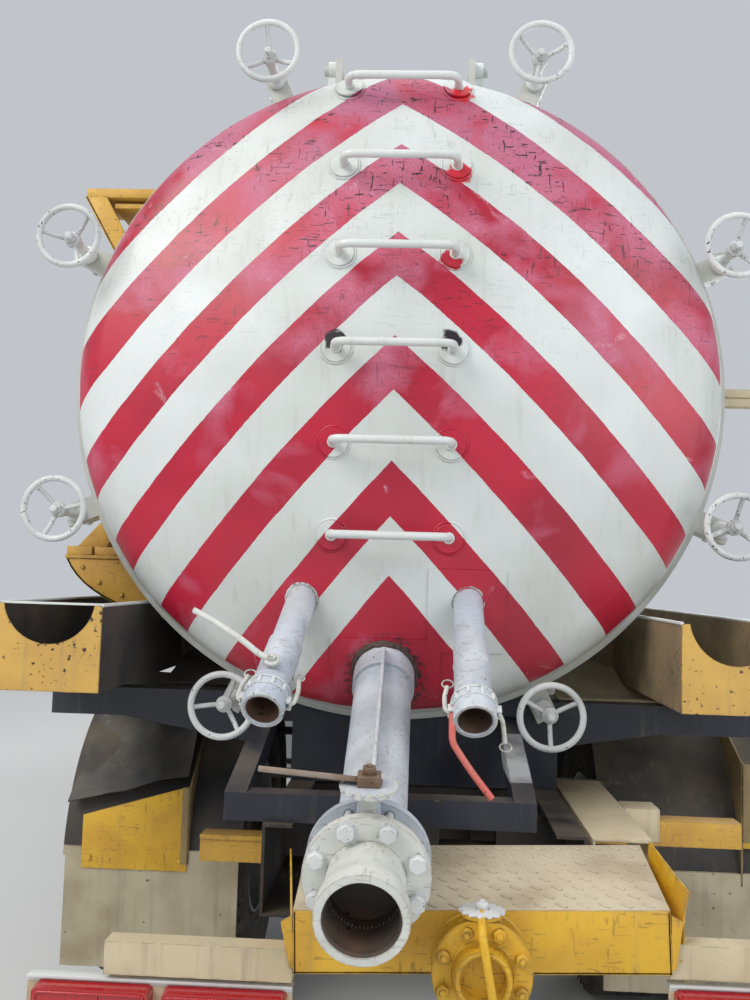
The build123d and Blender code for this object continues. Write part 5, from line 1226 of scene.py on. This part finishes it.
frameParts = blocks(((-1.120, frameY + 0.120, 2.972), (0.380, 0.240, 0.036), 0.003),
                    ((-1.060, frameY + 0.120, 2.930), (0.300, 0.200, 0.020), 0.002),
                    ((-1.020, frameY + 0.215, 2.840), (0.260, 0.010, 0.180), 0.002))
frameParts += [outlinePlate([(-1.315, 2.958), (-1.235, 2.958), (-1.065, 2.650), (-1.120, 2.620)], 0.008, "XZ", frameY,
                            0.001),
               outlinePlate([(-1.318, 2.958), (-1.308, 2.958), (-1.114, 2.620), (-1.124, 2.620)], 0.220, "XZ", frameY,
                            0.001)]
build(frameParts, "sideFrame", "chassis", "yellow")
armParts = blocks(((1.125, armY, 2.236), (0.300, 0.060, 0.030), 0.004),
                  ((1.080, armY - 0.006, 2.205), (0.180, 0.040, 0.034), 0.008))
armParts += [rod((1.150, armY - 0.006, 2.205), (1.190, armY - 0.006, 2.205), 0.015, 16, 0.004),
             outlinePlate([(0.905, 2.140), (0.985, 2.180), (0.985, 2.250), (0.925, 2.280)], 0.010, "XZ", armY, 0.001)]
build(armParts, "sideArm", "chassis", "beige")

# rear wheel boxes: side walls that rise over the arches, their folded edges and the yellow plates
plateY, archRadius = rearAxleY - 0.594, 0.597
wallParts = []
for side, edge, inner, rise in ((-1, -0.804, -0.804, 0.0), (1, 1.085, 1.079, 0.150)):
    arch = [(rearAxleY - archRadius * math.cos(turn), axleZ + archRadius * math.sin(turn))
            for turn in (math.radians(angle) for angle in (4, 14, 24, 34, 44, 54, 62))]
    high = [(rearAxleY - 0.250, 1.075 + rise * 0.4), (plateY - 0.004, 0.822 + rise), (plateY - 0.004, 0.560 + rise)]
    wallParts += [outlinePlate(arch + high, 0.006, "YZ", inner, 0.001),
                  block((edge + side * 0.010, plateY - 0.006, 0.690 + rise), (0.024, 0.006, 0.260), 0.002)]
# the side walls take the olive paint, which is painted shade of the yellow boxes
build(wallParts, "wheelBoxWalls", "chassis", "shadedYellowSheet")
boxPlates = [outlinePlate(corners, 0.005, "XZ", plateY - 0.005, 0.0012)
             for corners in ([(-0.804, 0.535), (-0.804, 0.823), (-1.172, 0.714), (-1.172, 0.535)],
                             [(1.085, 0.690), (1.236, 0.690), (1.236, 0.930), (1.085, 0.972)])]
boxPlates += [rod((x, plateY - 0.009, 0.570), (x, plateY - 0.004, 0.570), 0.009, 14, 0.001) for x in (-0.830, -1.145)]
build(boxPlates, "wheelBoxPlates", "chassis", "boxYellow", ("mudguard_plates",))


def makeGrid(across, along):
    deselect()
    bpy.ops.mesh.primitive_grid_add(x_subdivisions=across, y_subdivisions=along, size=2.0, location=(0, 0, 0))
    return bpy.context.object


def crumpled(corners, across, along, amount, seed):
    # a thin sheet between four corners with soft and sharp dents, closed on all sides
    piece = makeGrid(across, along)
    chance = random.Random(seed)
    folds = [(chance.uniform(-1, 1), chance.uniform(-1, 1), chance.uniform(1.5, 4.0), chance.uniform(-1, 1))
             for _ in range(9)]
    a, b, c, d = (Vector((x, rimY + y, z)) for x, y, z in corners)
    normal = (b - a).cross(d - a).normalized()
    for vertex in piece.data.vertices:
        u, v = (vertex.co.x + 1) / 2, (vertex.co.y + 1) / 2
        base = a * (1 - u) * (1 - v) + b * u * (1 - v) + c * u * v + d * (1 - u) * v
        lift = sum(weight * abs(math.sin((vertex.co.x * fx + vertex.co.y * fy) * sharp + weight))
                   for fx, fy, sharp, weight in folds) / len(folds)
        vertex.co = base + normal * lift * amount
    thicken(piece, 0.004)
    shadeBy(24)
    return piece


# sheets of the rear wheel boxes and decks; places are measured from the rim plane
build([crumpled([(-1.225, 0.256, 0.735), (-0.815, 0.266, 0.850), (-0.815, 0.650, 1.170), (-1.225, 0.650, 1.150)],
                26, 22, 0.110, 5)], "crumpledSheet", "chassis", "oldRubberAndShade")
build([crumpled([(0.577, -0.590, 0.772), (0.590, -0.862, 0.700), (0.612, -0.830, 0.852), (0.584, -0.566, 0.898)],
                10, 8, 0.030, 11)], "bentWing", "chassis", "boxYellow")
build(blocks(((-0.575, rimY + 0.030, 0.684), (0.270, 0.080, 0.084), 0.003),
             ((0.715, rimY - 0.030, 0.800), (0.540, 0.080, 0.078), 0.003),
             ((-0.575, rimY - 0.013, 0.720), (0.270, 0.006, 0.016), 0.001),
             ((0.300, rimY - 0.480, 0.792), (0.070, 0.020, 0.110), 0.002)), "boxBeams", "chassis", "yellow")
build(blocks(((0.530, rimY - 0.120, 0.883), (0.160, 0.800, 0.008), 0.002),
             ((0.454, rimY - 0.120, 0.842), (0.008, 0.800, 0.078), 0.002),
             ((0.606, rimY - 0.120, 0.842), (0.008, 0.800, 0.078), 0.002),
             ((0.680, rimY - 0.020, 0.824), (0.108, 0.110, 0.100), 0.003)), "channelArm", "chassis", "beige")
build([crumpled([(0.440, 0.200, 1.184), (0.845, 0.200, 1.184), (0.700, 0.640, 1.300), (0.540, 0.640, 1.276)],
                12, 10, 0.010, 31), block((0.640, rimY + 0.150, 1.183), (0.400, 0.110, 0.008), 0.002)],
      "deckRight", "chassis", "beige")
# the left deck sheet is dark as painted shade, where the pale floor would show through between tray and tank
build([crumpled([(-0.905, 0.200, 1.184), (-0.600, 0.200, 1.184), (-0.720, 0.750, 1.290), (-0.905, 0.750, 1.310)],
                12, 10, 0.010, 32)], "shadeDeckLeft", "chassis", "oldRubberAndShade")

# trays: a cross strip and a stay in the half moon of the left one, rolled edges along the walls of both
trays = {"front": rimY - 0.470, "back": rimY + 2.926, "top": 1.462, "edges": (-1.104, -0.800, 0.816, 1.120)}
leftTray, rightTray = tank["x"] - 0.952, tank["x"] + 0.968
trayParts = [rod((tank["x"] + edge, trays["front"], trays["top"]), (tank["x"] + edge, trays["back"], trays["top"]),
                 0.0052, 10) for edge in trays["edges"]]
trayParts.append(block((leftTray, rimY - 0.440, 1.463), (0.290, 0.030, 0.006), 0.001))
build(trayParts, "trayEdges", "chassis", "tankWhite")
build([rod((leftTray - 0.110, rimY - 0.40, 1.260), (leftTray + 0.120, rimY + 0.45, 1.420), 0.018, 14, 0.002),
       rod((leftTray - 0.02, rimY - 0.30, 1.245), (leftTray + 0.09, rimY - 0.26, 1.250), 0.009, 12, 0.001),
       block((rightTray, rimY - 0.05, 1.262), (0.060, 0.120, 0.080), 0.006),
       rod((rightTray + 0.052, rimY - 0.25, 1.235), (rightTray + 0.067, rimY - 0.27, 1.310), 0.010, 12, 0.001)],
      "trayStays", "chassis", "chassis")

# lamp plates: pale folded top edges, lens borders and dividers, screws
lampPlates = {"rows": ((-1, 0.530), (1, 0.575)), "outer": 1.070, "lenses": ((0.157, 0.134), (0.470, 0.128)),
              "halfHigh": 0.048, "faceY": rimY - 0.8925}
edges, borders, screws = [], [], []
screw = makeBolt(0.010, 0.004)
for side, middle in lampPlates["rows"]:
    inner = bumper["x"] + side * (bumper["half"] + 0.0003)
    outer = bumper["x"] + side * lampPlates["outer"]
    edges += blocks((((inner + outer) / 2, rimY - 0.838, middle + 0.0675), (abs(outer - inner), 0.034, 0.007), 0.001),
                    (((inner + outer) / 2, rimY - 0.847, middle + 0.062), (abs(outer - inner), 0.003, 0.012), 0.0008))
    low, high = middle - lampPlates["halfHigh"], middle + lampPlates["halfHigh"]
    for centre, halfWide in lampPlates["lenses"]:
        x, y = inner + side * centre, lampPlates["faceY"]
        borders.append(loopTube("XZ", y, (x - halfWide, low), (x + halfWide, high), 0.0034, 0.012))
        borders.append(rod((x + 0.02, y, low), (x + 0.02, y, high), 0.0026, 8))
        screws += boltRing(screw, (x, y, middle), -alongY, [alongX * end * (halfWide - 0.012) for end in (-1, 1)])
dropPiece(screw)
build(edges, "lampPlateEdges", "chassis", "tankWhite")
build(borders, "lensBorders", "chassis", "lampRed")
build(screws, "lensScrews", "chassis", "brightSteel")


def doorPatch(left, right, low, high, across, along):
    # a thin patch welded to the door
    piece = makeGrid(across, along)
    for vertex in piece.data.vertices:
        x = left + (right - left) * (vertex.co.x + 1) / 2
        vertex.co = onDish(x, low + (high - low) * (vertex.co.y + 1) / 2, 0.0008)
    thicken(piece, -0.0035)
    bpy.ops.object.mode_set(mode="EDIT")
    leaveEdit()
    shadeBy(35)
    return piece


build([doorPatch(0.118, 0.352, -0.835, -0.585, 12, 12), doorPatch(-0.175, 0.160, -0.990, -0.800, 16, 10)],
      "doorPatches", "tank_door", "doorPaint")
print("brackets, wheel boxes, trays and lamps")

# tyres: a moulded casing with five ribs of tread blocks, one pattern copied to each wheel
tyre = {"base": 0.5110, "top": 0.5215, "blocks": 58, "gap": 0.009, "rimEdge": 0.2925,
        "tracks": ((-0.088, 0.044, 0.0, 0.0), (-0.044, 0.034, 16, 0.5), (0.0, 0.034, -16, 0.0),
                   (0.044, 0.034, 16, 0.5), (0.088, 0.044, 0.0, 0.0))}


def tyrePattern():
    half = [(tyre["rimEdge"], 0.096), (0.2960, 0.108), (0.3050, 0.116), (0.3350, 0.127), (0.3750, 0.136),
            (0.4200, 0.140), (0.4600, 0.135), (0.4880, 0.125), (0.5020, 0.116), (0.5085, 0.108), (tyre["base"], 0.097)]
    profile = [(radius, -along) for radius, along in half] + half[::-1] + [(tyre["rimEdge"], -0.096)]
    parts = [spun(profile, (0, 0, 0), alongX, 96, smooth=40)]
    length = 2 * math.pi * tyre["top"] / tyre["blocks"] - tyre["gap"]
    middle = (tyre["base"] - 0.004 + tyre["top"]) / 2
    for across, wide, slant, shift in tyre["tracks"]:
        lump = block((0, 0, 0), (wide, length, tyre["top"] - tyre["base"] + 0.004), 0.0022, 1)
        place = Matrix.Translation((across, 0, middle)) @ Matrix.Rotation(math.radians(slant), 4, "Z")
        for number in range(tyre["blocks"]):
            angle = 2 * math.pi * (number + shift) / tyre["blocks"]
            parts.append(copyPiece(lump, Matrix.Rotation(angle, 4, "X") @ place))
        dropPiece(lump)
    rib = block((0, 0, 0), (0.004, 0.006, 0.034), 0.0)
    for side in (-1, 1):
        for radius, along, thickness in ((0.322, 0.1225, 0.0035), (0.352, 0.1315, 0.0022), (0.470, 0.1320, 0.0030)):
            parts.append(ring((side * along, 0, 0), alongX, radius, thickness, 80, 6))
        parts += [copyPiece(rib, Matrix.Rotation(turn, 4, "X") @ Matrix.Translation((side * 0.1245, 0, 0.489)))
                  for turn in turnsOf(48)]
    dropPiece(rib)
    return joinPieces(parts, "tyrePattern")


pattern = tyrePattern()
for side, word in bothSides:
    front, rear = [[copyPiece(pattern, Matrix.Translation((side * x, axleY, axleZ))) for x in stations]
                   for stations, axleY in (((1.010,), frontAxleY), ((0.760, 1.080), rearAxleY))]
    build(front, "frontTread" + word.capitalize(), "front_wheel_" + word, "tyreRubber",
          ("front_tyre_" + word,))
    build(rear, "rearTread" + word.capitalize(), "rear_wheels_" + word, "tyreRubber",
          ("rear_tyres_" + word,))
dropPiece(pattern)
nut, small = makeBolt(0.032, 0.020, 0.012), makeBolt(0.016, 0.010)
rims = {"radius": 0.2865, "bead": 0.0060, "front": (0.893, 1.127), "rear": (0.643, 0.877, 0.963, 1.197)}
frontCap = [(0.0, 0.046), (0.040, 0.044), (0.060, 0.034), (0.068, 0.016), (0.080, 0.012), (0.082, -0.004),
            (0.0, -0.004)]
rearCap = [(0.0, 0.018), (0.052, 0.016), (0.060, 0.008), (0.104, 0.006), (0.108, -0.004), (0.0, -0.004)]


def hubParts(side, axleY, bolts, cap, capX, stations):
    # rings of bolts, a turned cap and the rims' beaded edges
    def atWheel(x):
        return Vector((side * x, axleY, axleZ))

    parts = []
    for bolt, x, count, radius, start in bolts:
        parts += boltRing(bolt, atWheel(x), (side, 0, 0), circle(count, alongY, alongZ, radius, start))
    parts.append(spun(cap, atWheel(capX), (side, 0, 0), 40))
    return parts + [ring(atWheel(x), alongX, rims["radius"], rims["bead"], 72, 8) for x in stations]


for side, word in bothSides:
    hub = hubParts(side, frontAxleY, ((nut, 1.104, 10, 0.132, 0), (small, 1.122, 6, 0.074, 0)), frontCap, 1.110,
                   rims["front"])
    hub.append(rod((side * 1.075, frontAxleY + 0.150, axleZ + 0.190),
                   (side * 1.118, frontAxleY + 0.152, axleZ + 0.195), 0.006, 10, 0.001))
    build(hub, "frontHub" + word.capitalize(), "front_wheel_" + word, "rimSteel")
    hub = hubParts(side, rearAxleY, ((nut, 0.9325, 10, 0.164, 0), (small, 1.1400, 10, 0.088, 18)), rearCap, 1.1405,
                   rims["rear"])
    build(hub, "rearHub" + word.capitalize(), "rear_wheels_" + word, "rimSteel")
for bolt in (nut, small):
    dropPiece(bolt)
print("wheels dressed")

# springs: eye bolts, centre clamps and bands on the leaves at each end of both axles
springs = {"x": 0.390, "half": 0.048, "eyeZ": 0.640, "band": 0.38}
springParts = []
for axleY, seat, reach, low in ((frontAxleY, 0.545, 0.700, 0.400), (rearAxleY, 0.640, 0.750, 0.470)):
    for x in (-springs["x"], springs["x"]):
        left, right, eye = x - springs["half"], x + springs["half"], springs["half"] + 0.004
        for y in (axleY - 0.075, axleY + 0.075):
            springParts.append(bentTube([(left, y, low), (left, y, seat + 0.030), (right, y, seat + 0.030),
                                         (right, y, low)], 0.0085, 0.02, 10))
        springParts.append(block((x, axleY, low + 0.006), (0.120, 0.190, 0.014)))
        for end in (-1, 1):
            y = axleY + end * reach
            springParts.append(rod((x - eye, y, springs["eyeZ"]), (x + eye, y, springs["eyeZ"]), 0.026, 20, 0.003))
            springParts.append(block((x, axleY + end * springs["band"], 0.598), (0.090, 0.030, 0.075), 0.004))
build(springParts, "springClamps", "chassis", "castIron")


def cushion(centre, size, crown, turn=0.0):
    # a crowned cushion with two pressed seams
    deselect()
    bpy.ops.mesh.primitive_cube_add(size=2.0, location=(0, 0, 0))
    piece = bpy.context.object
    bpy.ops.object.mode_set(mode="EDIT")
    selectAll()
    bpy.ops.mesh.subdivide(number_cuts=11)
    bpy.ops.object.mode_set(mode="OBJECT")
    half = [length / 2 for length in size]
    power = 7.0
    for vertex in piece.data.vertices:
        x, y, z = vertex.co
        norm = (abs(x) ** power + abs(y) ** power + abs(z) ** power) ** (1 / power)
        x, y, z = x / norm, y / norm, z / norm
        bow = crown * (1 - x * x) * (1 - y * y)
        seam = 0.006 * max(0.0, 1 - abs(abs(x) - 0.62) / 0.06) * (1 if abs(y) < 0.92 else 0)
        vertex.co = (x * half[0], y * half[1] * (1 - 0.02 * z), z * half[2] + (bow - seam) * (1 if z > 0 else -0.3))
    turned(piece, Matrix.Translation(centre) @ Matrix.Rotation(math.radians(turn), 4, "X"))
    pickOnly(piece)
    bpy.ops.object.shade_smooth()
    return piece


# seats: cushions with piped edges on a plain base
seat = {"x": 0.600, "baseY": 2.780, "baseZ": 1.515, "backY": 2.545, "backZ": 1.905, "fill": 0.8, "floor": 1.1303}
pipingParts, standParts = [], []
for side, word in ((-1, "Left"), (1, "Right")):
    x, y, pipingZ = side * seat["x"], seat["baseY"], seat["baseZ"] + 0.055
    base = cushion((x, y, seat["baseZ"]), (0.50, 0.50, 0.15), 0.016)
    build([base], "seatBase" + word, "cab", "seatCloth", ("seats",) if side < 0 else ())
    back = cushion((x, seat["backY"], seat["backZ"]), (0.47, 0.66, 0.12), 0.014, 87)
    build([back], "seatBack" + word, "cab", "seatCloth")
    pipingParts.append(loopTube("XY", pipingZ, (x - 0.235, y - 0.235), (x + 0.235, y + 0.235), 0.0055, 0.05))
    standParts += blocks(((x, 2.790, seat["floor"] + 0.150), (0.38, 0.42, 0.30), 0.02, 3),
                         ((x, 2.770, seat["floor"] + 0.302), (0.46, 0.46, 0.024), 0.006))
    standParts += [rod((edge, 2.560, 1.44), (edge, 2.520, 1.62), 0.016, 14, 0.003) for edge in (x - 0.20, x + 0.20)]
build(pipingParts, "seatPiping", "cab", "blackPlastic")
build(standParts, "seatStands", "cab", "blackPlastic")
print("springs and seats")


# cab: rubber round the panes, wipers, lamps, steps, handles and a blank plate
def screenSpot(x, z, lift=0.004):
    # the sloping face of the windscreen wall
    return Vector((x, 3.860 - 0.120 * (z - 1.500) / 1.180 + lift, z))


def paneSeal(halfWide, low, high, spotAt, radius):
    corners = ((-halfWide, low), (halfWide, low), (halfWide, high), (-halfWide, high))
    return bentTube([spotAt(*corner) for corner in corners], radius, 0.055, 8, True)


sideX = 1.1515
cabSeals = [paneSeal(1.000, 1.640, 2.540, screenSpot, 0.013),
            paneSeal(0.600, 1.950, 2.400, lambda x, z: Vector((x, 1.998, z)), 0.011),
            block((0.0, 3.868, 1.560), (2.06, 0.016, 0.050), 0.004)]
cabSeals += [rod((-1.02, 3.8615, z), (1.02, 3.8615, z), 0.0035, 8) for z in (1.250, 1.480)]
for side, word in bothSides:
    cabSeals.append(loopTube("YZ", side * sideX, (2.778, 1.138), (3.602, 2.602), 0.0032, 0.05))
    cabSeals.append(block((side * 1.1520, 3.400, 1.010), (0.006, 0.420, 0.080), 0.002))
    cabSeals.append(bentTube([(side * 1.156, 2.700, 1.45), (side * 1.185, 2.700, 1.47), (side * 1.185, 2.700, 2.15),
                              (side * 1.156, 2.700, 2.17)], 0.011, 0.02, 12))
    trim = blocks(((side * 1.160, 2.900, 1.600), (0.012, 0.190, 0.070), 0.005),
                  ((side * 1.172, 2.900, 1.612), (0.014, 0.150, 0.026), 0.006),
                  ((side * 1.153, 3.190, 1.300), (0.006, 0.760, 0.045), 0.002))
    trim += [loopTube("YZ", side * sideX, (2.855, 1.840), (3.525, 2.525), 0.0085, 0.045),
             rod((side * 1.151, 2.840, 1.560), (side * 1.162, 2.840, 1.560), 0.014, 20, 0.002)]
    build(trim, "doorTrim" + word.capitalize(), "door_" + word, "blackPlastic")
build(cabSeals, "cabSeals", "cab", "blackPlastic")
wipers = []
for pivot in (-0.520, 0.280):
    foot, tip = screenSpot(pivot, 1.600, 0.022), screenSpot(pivot + 0.330, 1.760, 0.030)
    wipers.append(rod(foot - alongY * 0.020, foot + alongY * 0.016, 0.018, 16, 0.003))
    wipers.append(bentTube([foot + alongY * 0.012, (foot + tip) / 2 + alongY * 0.022, tip], 0.0065, 0.1, 10))
    first, last = screenSpot(pivot + 0.080, 1.700, 0.012), screenSpot(pivot + 0.640, 1.800, 0.012)
    wipers.append(turned(block((0, 0, 0), (0.008, 0.018, (last - first).length), 0.002),
                         toward((first + last) / 2, last - first)))
    wipers.append(block(tip, (0.040, 0.020, 0.024), 0.004))
build(wipers, "wipers", "cab", "blackPlastic")
roofLamps = blocks(*(((x, 3.520, 2.822), (0.130, 0.062, 0.040), 0.014, 4) for x in (-0.90, -0.35, 0.0, 0.35, 0.90)),
                   *(((x, 3.868, 1.080), (0.110, 0.022, 0.160), 0.008, 3) for x in (-1.040, 1.040)))
bases = blocks(*(((x, 3.520, 2.801), (0.150, 0.080, 0.012), 0.004) for x in (-0.90, -0.35, 0.0, 0.35, 0.90)),
               *(((x, 3.862, 1.080), (0.130, 0.012, 0.184), 0.004) for x in (-1.040, 1.040)))
build(roofLamps, "cabLamps", "cab", "lampAmber")
build(bases, "cabLampBases", "cab", "blackPlastic")
steps = []
for side in (-1, 1):
    for x, z in ((side * 1.035, 0.560), (side * 1.015, 0.800)):
        steps.append(block((x, 3.420, z), (0.210, 0.400, 0.026), 0.005))
        steps += blocks(*(((x, 3.250 + rib * 0.042, z + 0.015), (0.180, 0.008, 0.008), 0.0015) for rib in range(9)))
    steps += blocks(*(((side * 1.035, y, 0.680), (0.190, 0.012, 0.250)) for y in (3.235, 3.605)))
build(steps, "cabSteps", "cab", "chassis")
frontParts = blocks(((0.0, 3.938, 0.640), (0.900, 0.008, 0.014), 0.002),
                    ((0.0, 3.938, 0.480), (0.700, 0.008, 0.014), 0.002))
for side in (-1, 1):
    x = side * 0.880
    frontParts += [loopTube("XZ", 3.905, (x - 0.150, 0.515), (x + 0.150, 0.665), 0.0090, 0.03, 10),
                   ring((x - 0.055, 3.9155, 0.590), alongY, 0.058, 0.0050, 48, 8),
                   ring((x + 0.080, 3.9155, 0.590), alongY, 0.040, 0.0040, 40, 8),
                   rod((side * 0.45, 3.920, 0.475), (side * 0.45, 3.936, 0.475), 0.024, 24, 0.003)]
build(frontParts, "bumperTrim", "chassis", "blackPlastic")
build([block((0.0, 3.9435, 0.560), (0.520, 0.004, 0.112), 0.002)], "blankPlate", "chassis", "cabPaint")
slats = blocks(*(((0.0, 3.8765, 1.170 + row * 0.078), (1.300, 0.008, 0.012), 0.002) for row in range(-3, 4)))
slats += [rod((x, 3.872, z), (x, 3.881, z), 0.012, 16, 0.002) for x in (-0.66, 0.66) for z in (0.96, 1.38)]
build(slats, "grilleSlats", "cab", "rimSteel")
mirrors = blocks(*(((x, 3.7585, z), (0.138, 0.004, height), 0.0015) for x in (-1.320, 1.320)
                   for z, height in ((2.190, 0.390), (1.905, 0.130))))
build(mirrors, "mirrorGlass", "cab", "mirrorSilver")
print("cab dressed")

# tank: weld seams round and along the shell, lid clamps and handle
seam = {"stations": (0.060, 0.950, 1.850, 2.750, 3.640), "radius": 1.0458, "bead": 0.0042, "turn": 2.2}
seamX, seamZ = tank["x"] + seam["radius"] * math.cos(seam["turn"]), tank["z"] + seam["radius"] * math.sin(seam["turn"])
seams = [ring((tank["x"], rimY + along, tank["z"]), alongY, seam["radius"], seam["bead"], 160, 8)
         for along in seam["stations"]]
seamEnds = [(seamX, rimY + seam["stations"][end], seamZ) for end in (0, -1)]
seams.append(rod(*seamEnds, seam["bead"], 8))
build(seams, "shellSeams", "chassis", "tankWhite")
lid = {"y": 0.100, "z": tank["z"] + 1.1353, "circle": 0.250}
lidMiddle = Vector((tank["x"], lid["y"], lid["z"]))
lidClamp = makeBolt(0.030, 0.018, 0.026)
lidParts = boltRing(lidClamp, lidMiddle + alongZ * 0.014, alongZ, circle(8, alongX, alongY, lid["circle"], 22.5))
dropPiece(lidClamp)
handle = [lidMiddle + Vector(step) for step in ((-0.080, 0, 0.050), (-0.080, 0, 0.105), (0.080, 0, 0.105),
                                                (0.080, 0, 0.050))]
lidParts += [bentTube(handle, 0.010, 0.03, 12), ring(lidMiddle + alongZ * 0.012, alongZ, 0.2785, 0.005, 72, 8)]
build(lidParts, "lidFittings", "manhole_cover", "tankWhite")
print("tank dressed")

# fuel tank: rolled end seams, straps with their tightening bolts, filler cap
fuelLow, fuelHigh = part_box("fuel_tank")
fuel = {"width": 0.600, "corner": 0.090, "straps": (0.150, 0.700), "strapWidth": 0.046, "cap": (0.170, 0.420)}
fuelMiddleZ = (fuelLow.z + fuelHigh.z) / 2


def fuelOutline(grow, steps=7):
    # the tank's rounded section, grown by a little
    radius = fuel["corner"]
    left, right = fuelLow.x + radius, fuelLow.x + fuel["width"] - radius
    low, high = fuelLow.z + radius, fuelHigh.z - radius
    points = []
    for x, z, start in ((right, high, 0), (left, high, 90), (left, low, 180), (right, low, 270)):
        points += [(x + (radius + grow) * math.cos(turn), z + (radius + grow) * math.sin(turn))
                   for turn in (math.radians(start + 90 * step / steps) for step in range(steps + 1))]
    return points


fuelParts = [outlinePlate(fuelOutline(0.0035), 0.010, "XZ", y) for y in (fuelLow.y + 0.004, fuelHigh.y - 0.014)]
strapParts = []
for reach in fuel["straps"]:
    x, y = fuelLow.x, fuelLow.y + reach
    strapParts.append(outlinePlate(fuelOutline(0.0050), fuel["strapWidth"], "XZ", y - fuel["strapWidth"] / 2, 0.001))
    strapParts += [rod((x - 0.004, y, z), (x - 0.012, y, z), 0.010, 6)
                   for z in (fuelMiddleZ - 0.060, fuelMiddleZ + 0.060)]
    strapParts.append(block((x - 0.006, y, fuelMiddleZ), (0.012, 0.036, 0.110), 0.002))
capFoot = Vector((fuelLow.x + fuel["cap"][0], fuelLow.y + fuel["cap"][1], fuelHigh.z - 0.002))
fuelParts.append(spun([(0.0, 0.0), (0.058, 0.0), (0.060, 0.004), (0.046, 0.010), (0.044, 0.026), (0.0, 0.026)],
                      capFoot, alongZ, 40))
strapParts.append(spun([(0.0, 0.022), (0.050, 0.022), (0.052, 0.026), (0.052, 0.044), (0.047, 0.050), (0.020, 0.052),
                        (0.0, 0.052)], capFoot, alongZ, 40))
strapParts += [rod(capFoot + step + alongZ * 0.027, capFoot + step + alongZ * 0.043, 0.0030, 8)
               for step in circle(16, alongX, alongY, 0.052)]
build(fuelParts, "fuelSeams", "chassis", "tankAlloy")
build(strapParts, "fuelStraps", "chassis", "blackPlastic")

# battery box: overlapping lid, pressed ribs and two pull latches
boxLow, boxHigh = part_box("battery_box")
battery = {"lid": 0.028, "proud": 0.007, "ribs": 5, "latches": (0.18, 0.52)}
boxSize, boxMiddle = boxHigh - boxLow, (boxLow + boxHigh) / 2
boxParts = [block((boxMiddle.x + 0.020, boxMiddle.y, boxHigh.z - battery["lid"] / 2 + 0.004),
                  (boxSize.x - 0.040 + 2 * battery["proud"], boxSize.y + 2 * battery["proud"], battery["lid"]),
                  0.005, 3)]
for number in range(battery["ribs"]):
    y = boxLow.y + (number + 0.5) * boxSize.y / battery["ribs"]
    boxParts.append(block((boxHigh.x + 0.001, y, boxLow.z + 0.170), (0.008, 0.030, 0.250), 0.0035, 3))
latchParts = []
for reach in battery["latches"]:
    x, y, z = boxHigh.x, boxLow.y + reach, boxHigh.z
    latchParts.append(block((x + 0.009, y, z - 0.060), (0.008, 0.034, 0.060), 0.002))
    latchParts.append(bentTube([(x + 0.010, y - 0.014, z - 0.075), (x + 0.018, y - 0.014, z - 0.012),
                                (x + 0.018, y + 0.014, z - 0.012), (x + 0.010, y + 0.014, z - 0.075)],
                               0.0028, 0.006, 8))
build(boxParts, "batteryLid", "chassis", "blackPlastic")
build(latchParts, "batteryLatches", "chassis", "brightSteel")

# vacuum pump: cooling rings and end covers, bands on the air separator, the pipe between them
pumpLow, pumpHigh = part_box("vacuum_pump")
pump = {"x": 0.390, "y": (pumpLow.y + pumpHigh.y) / 2, "foot": pumpLow.z, "axle": 0.280, "radius": 0.180,
        "half": 0.230, "rings": 9, "pitch": 0.044, "can": 0.190, "bands": (0.120, 0.420, 0.740), "pipe": 0.040,
        "pipeZ": 0.700, "pipeBack": 0.020}


def atPump(x, y, z):
    return Vector((x, pump["y"] + y, pump["foot"] + z))


pumpParts = [ring(atPump(pump["x"], (number - (pump["rings"] - 1) / 2) * pump["pitch"], pump["axle"]), alongY,
                  pump["radius"] + 0.002, 0.0065, 56, 8) for number in range(pump["rings"])]
coverBolt = makeBolt(0.020, 0.011)
for end in (-1, 1):
    face = atPump(pump["x"], end * (pump["half"] - 0.004), pump["axle"])
    pumpParts.append(spun([(0.0, 0.0), (0.150, 0.0), (0.154, 0.004), (0.150, 0.016), (0.070, 0.020), (0.062, 0.034),
                           (0.0, 0.034)], face, alongY * end, 48))
    pumpParts += boltRing(coverBolt, face + alongY * end * 0.015, alongY * end,
                          circle(8, alongX, alongZ, 0.130, 22.5))
dropPiece(coverBolt)
pumpParts += [ring(atPump(-pump["x"], 0, height), alongZ, pump["can"] + 0.001, 0.0060, 64, 8)
              for height in pump["bands"]]
pumpParts.append(bentTube([atPump(pump["x"], 0, 0.590), atPump(pump["x"], 0, pump["pipeZ"]),
                           atPump(-0.120, pump["pipeBack"], pump["pipeZ"]),
                           atPump(-0.215, pump["pipeBack"], pump["pipeZ"])], pump["pipe"], 0.090, 20))
pumpParts += [ring(atPump(pump["x"], 0, 0.602), alongZ, 0.046, 0.008, 36, 8),
              ring(atPump(-0.205, pump["pipeBack"], pump["pipeZ"]), alongX, 0.046, 0.008, 36, 8)]
build(pumpParts, "pumpFittings", "chassis", "castIron")
print("side equipment dressed")
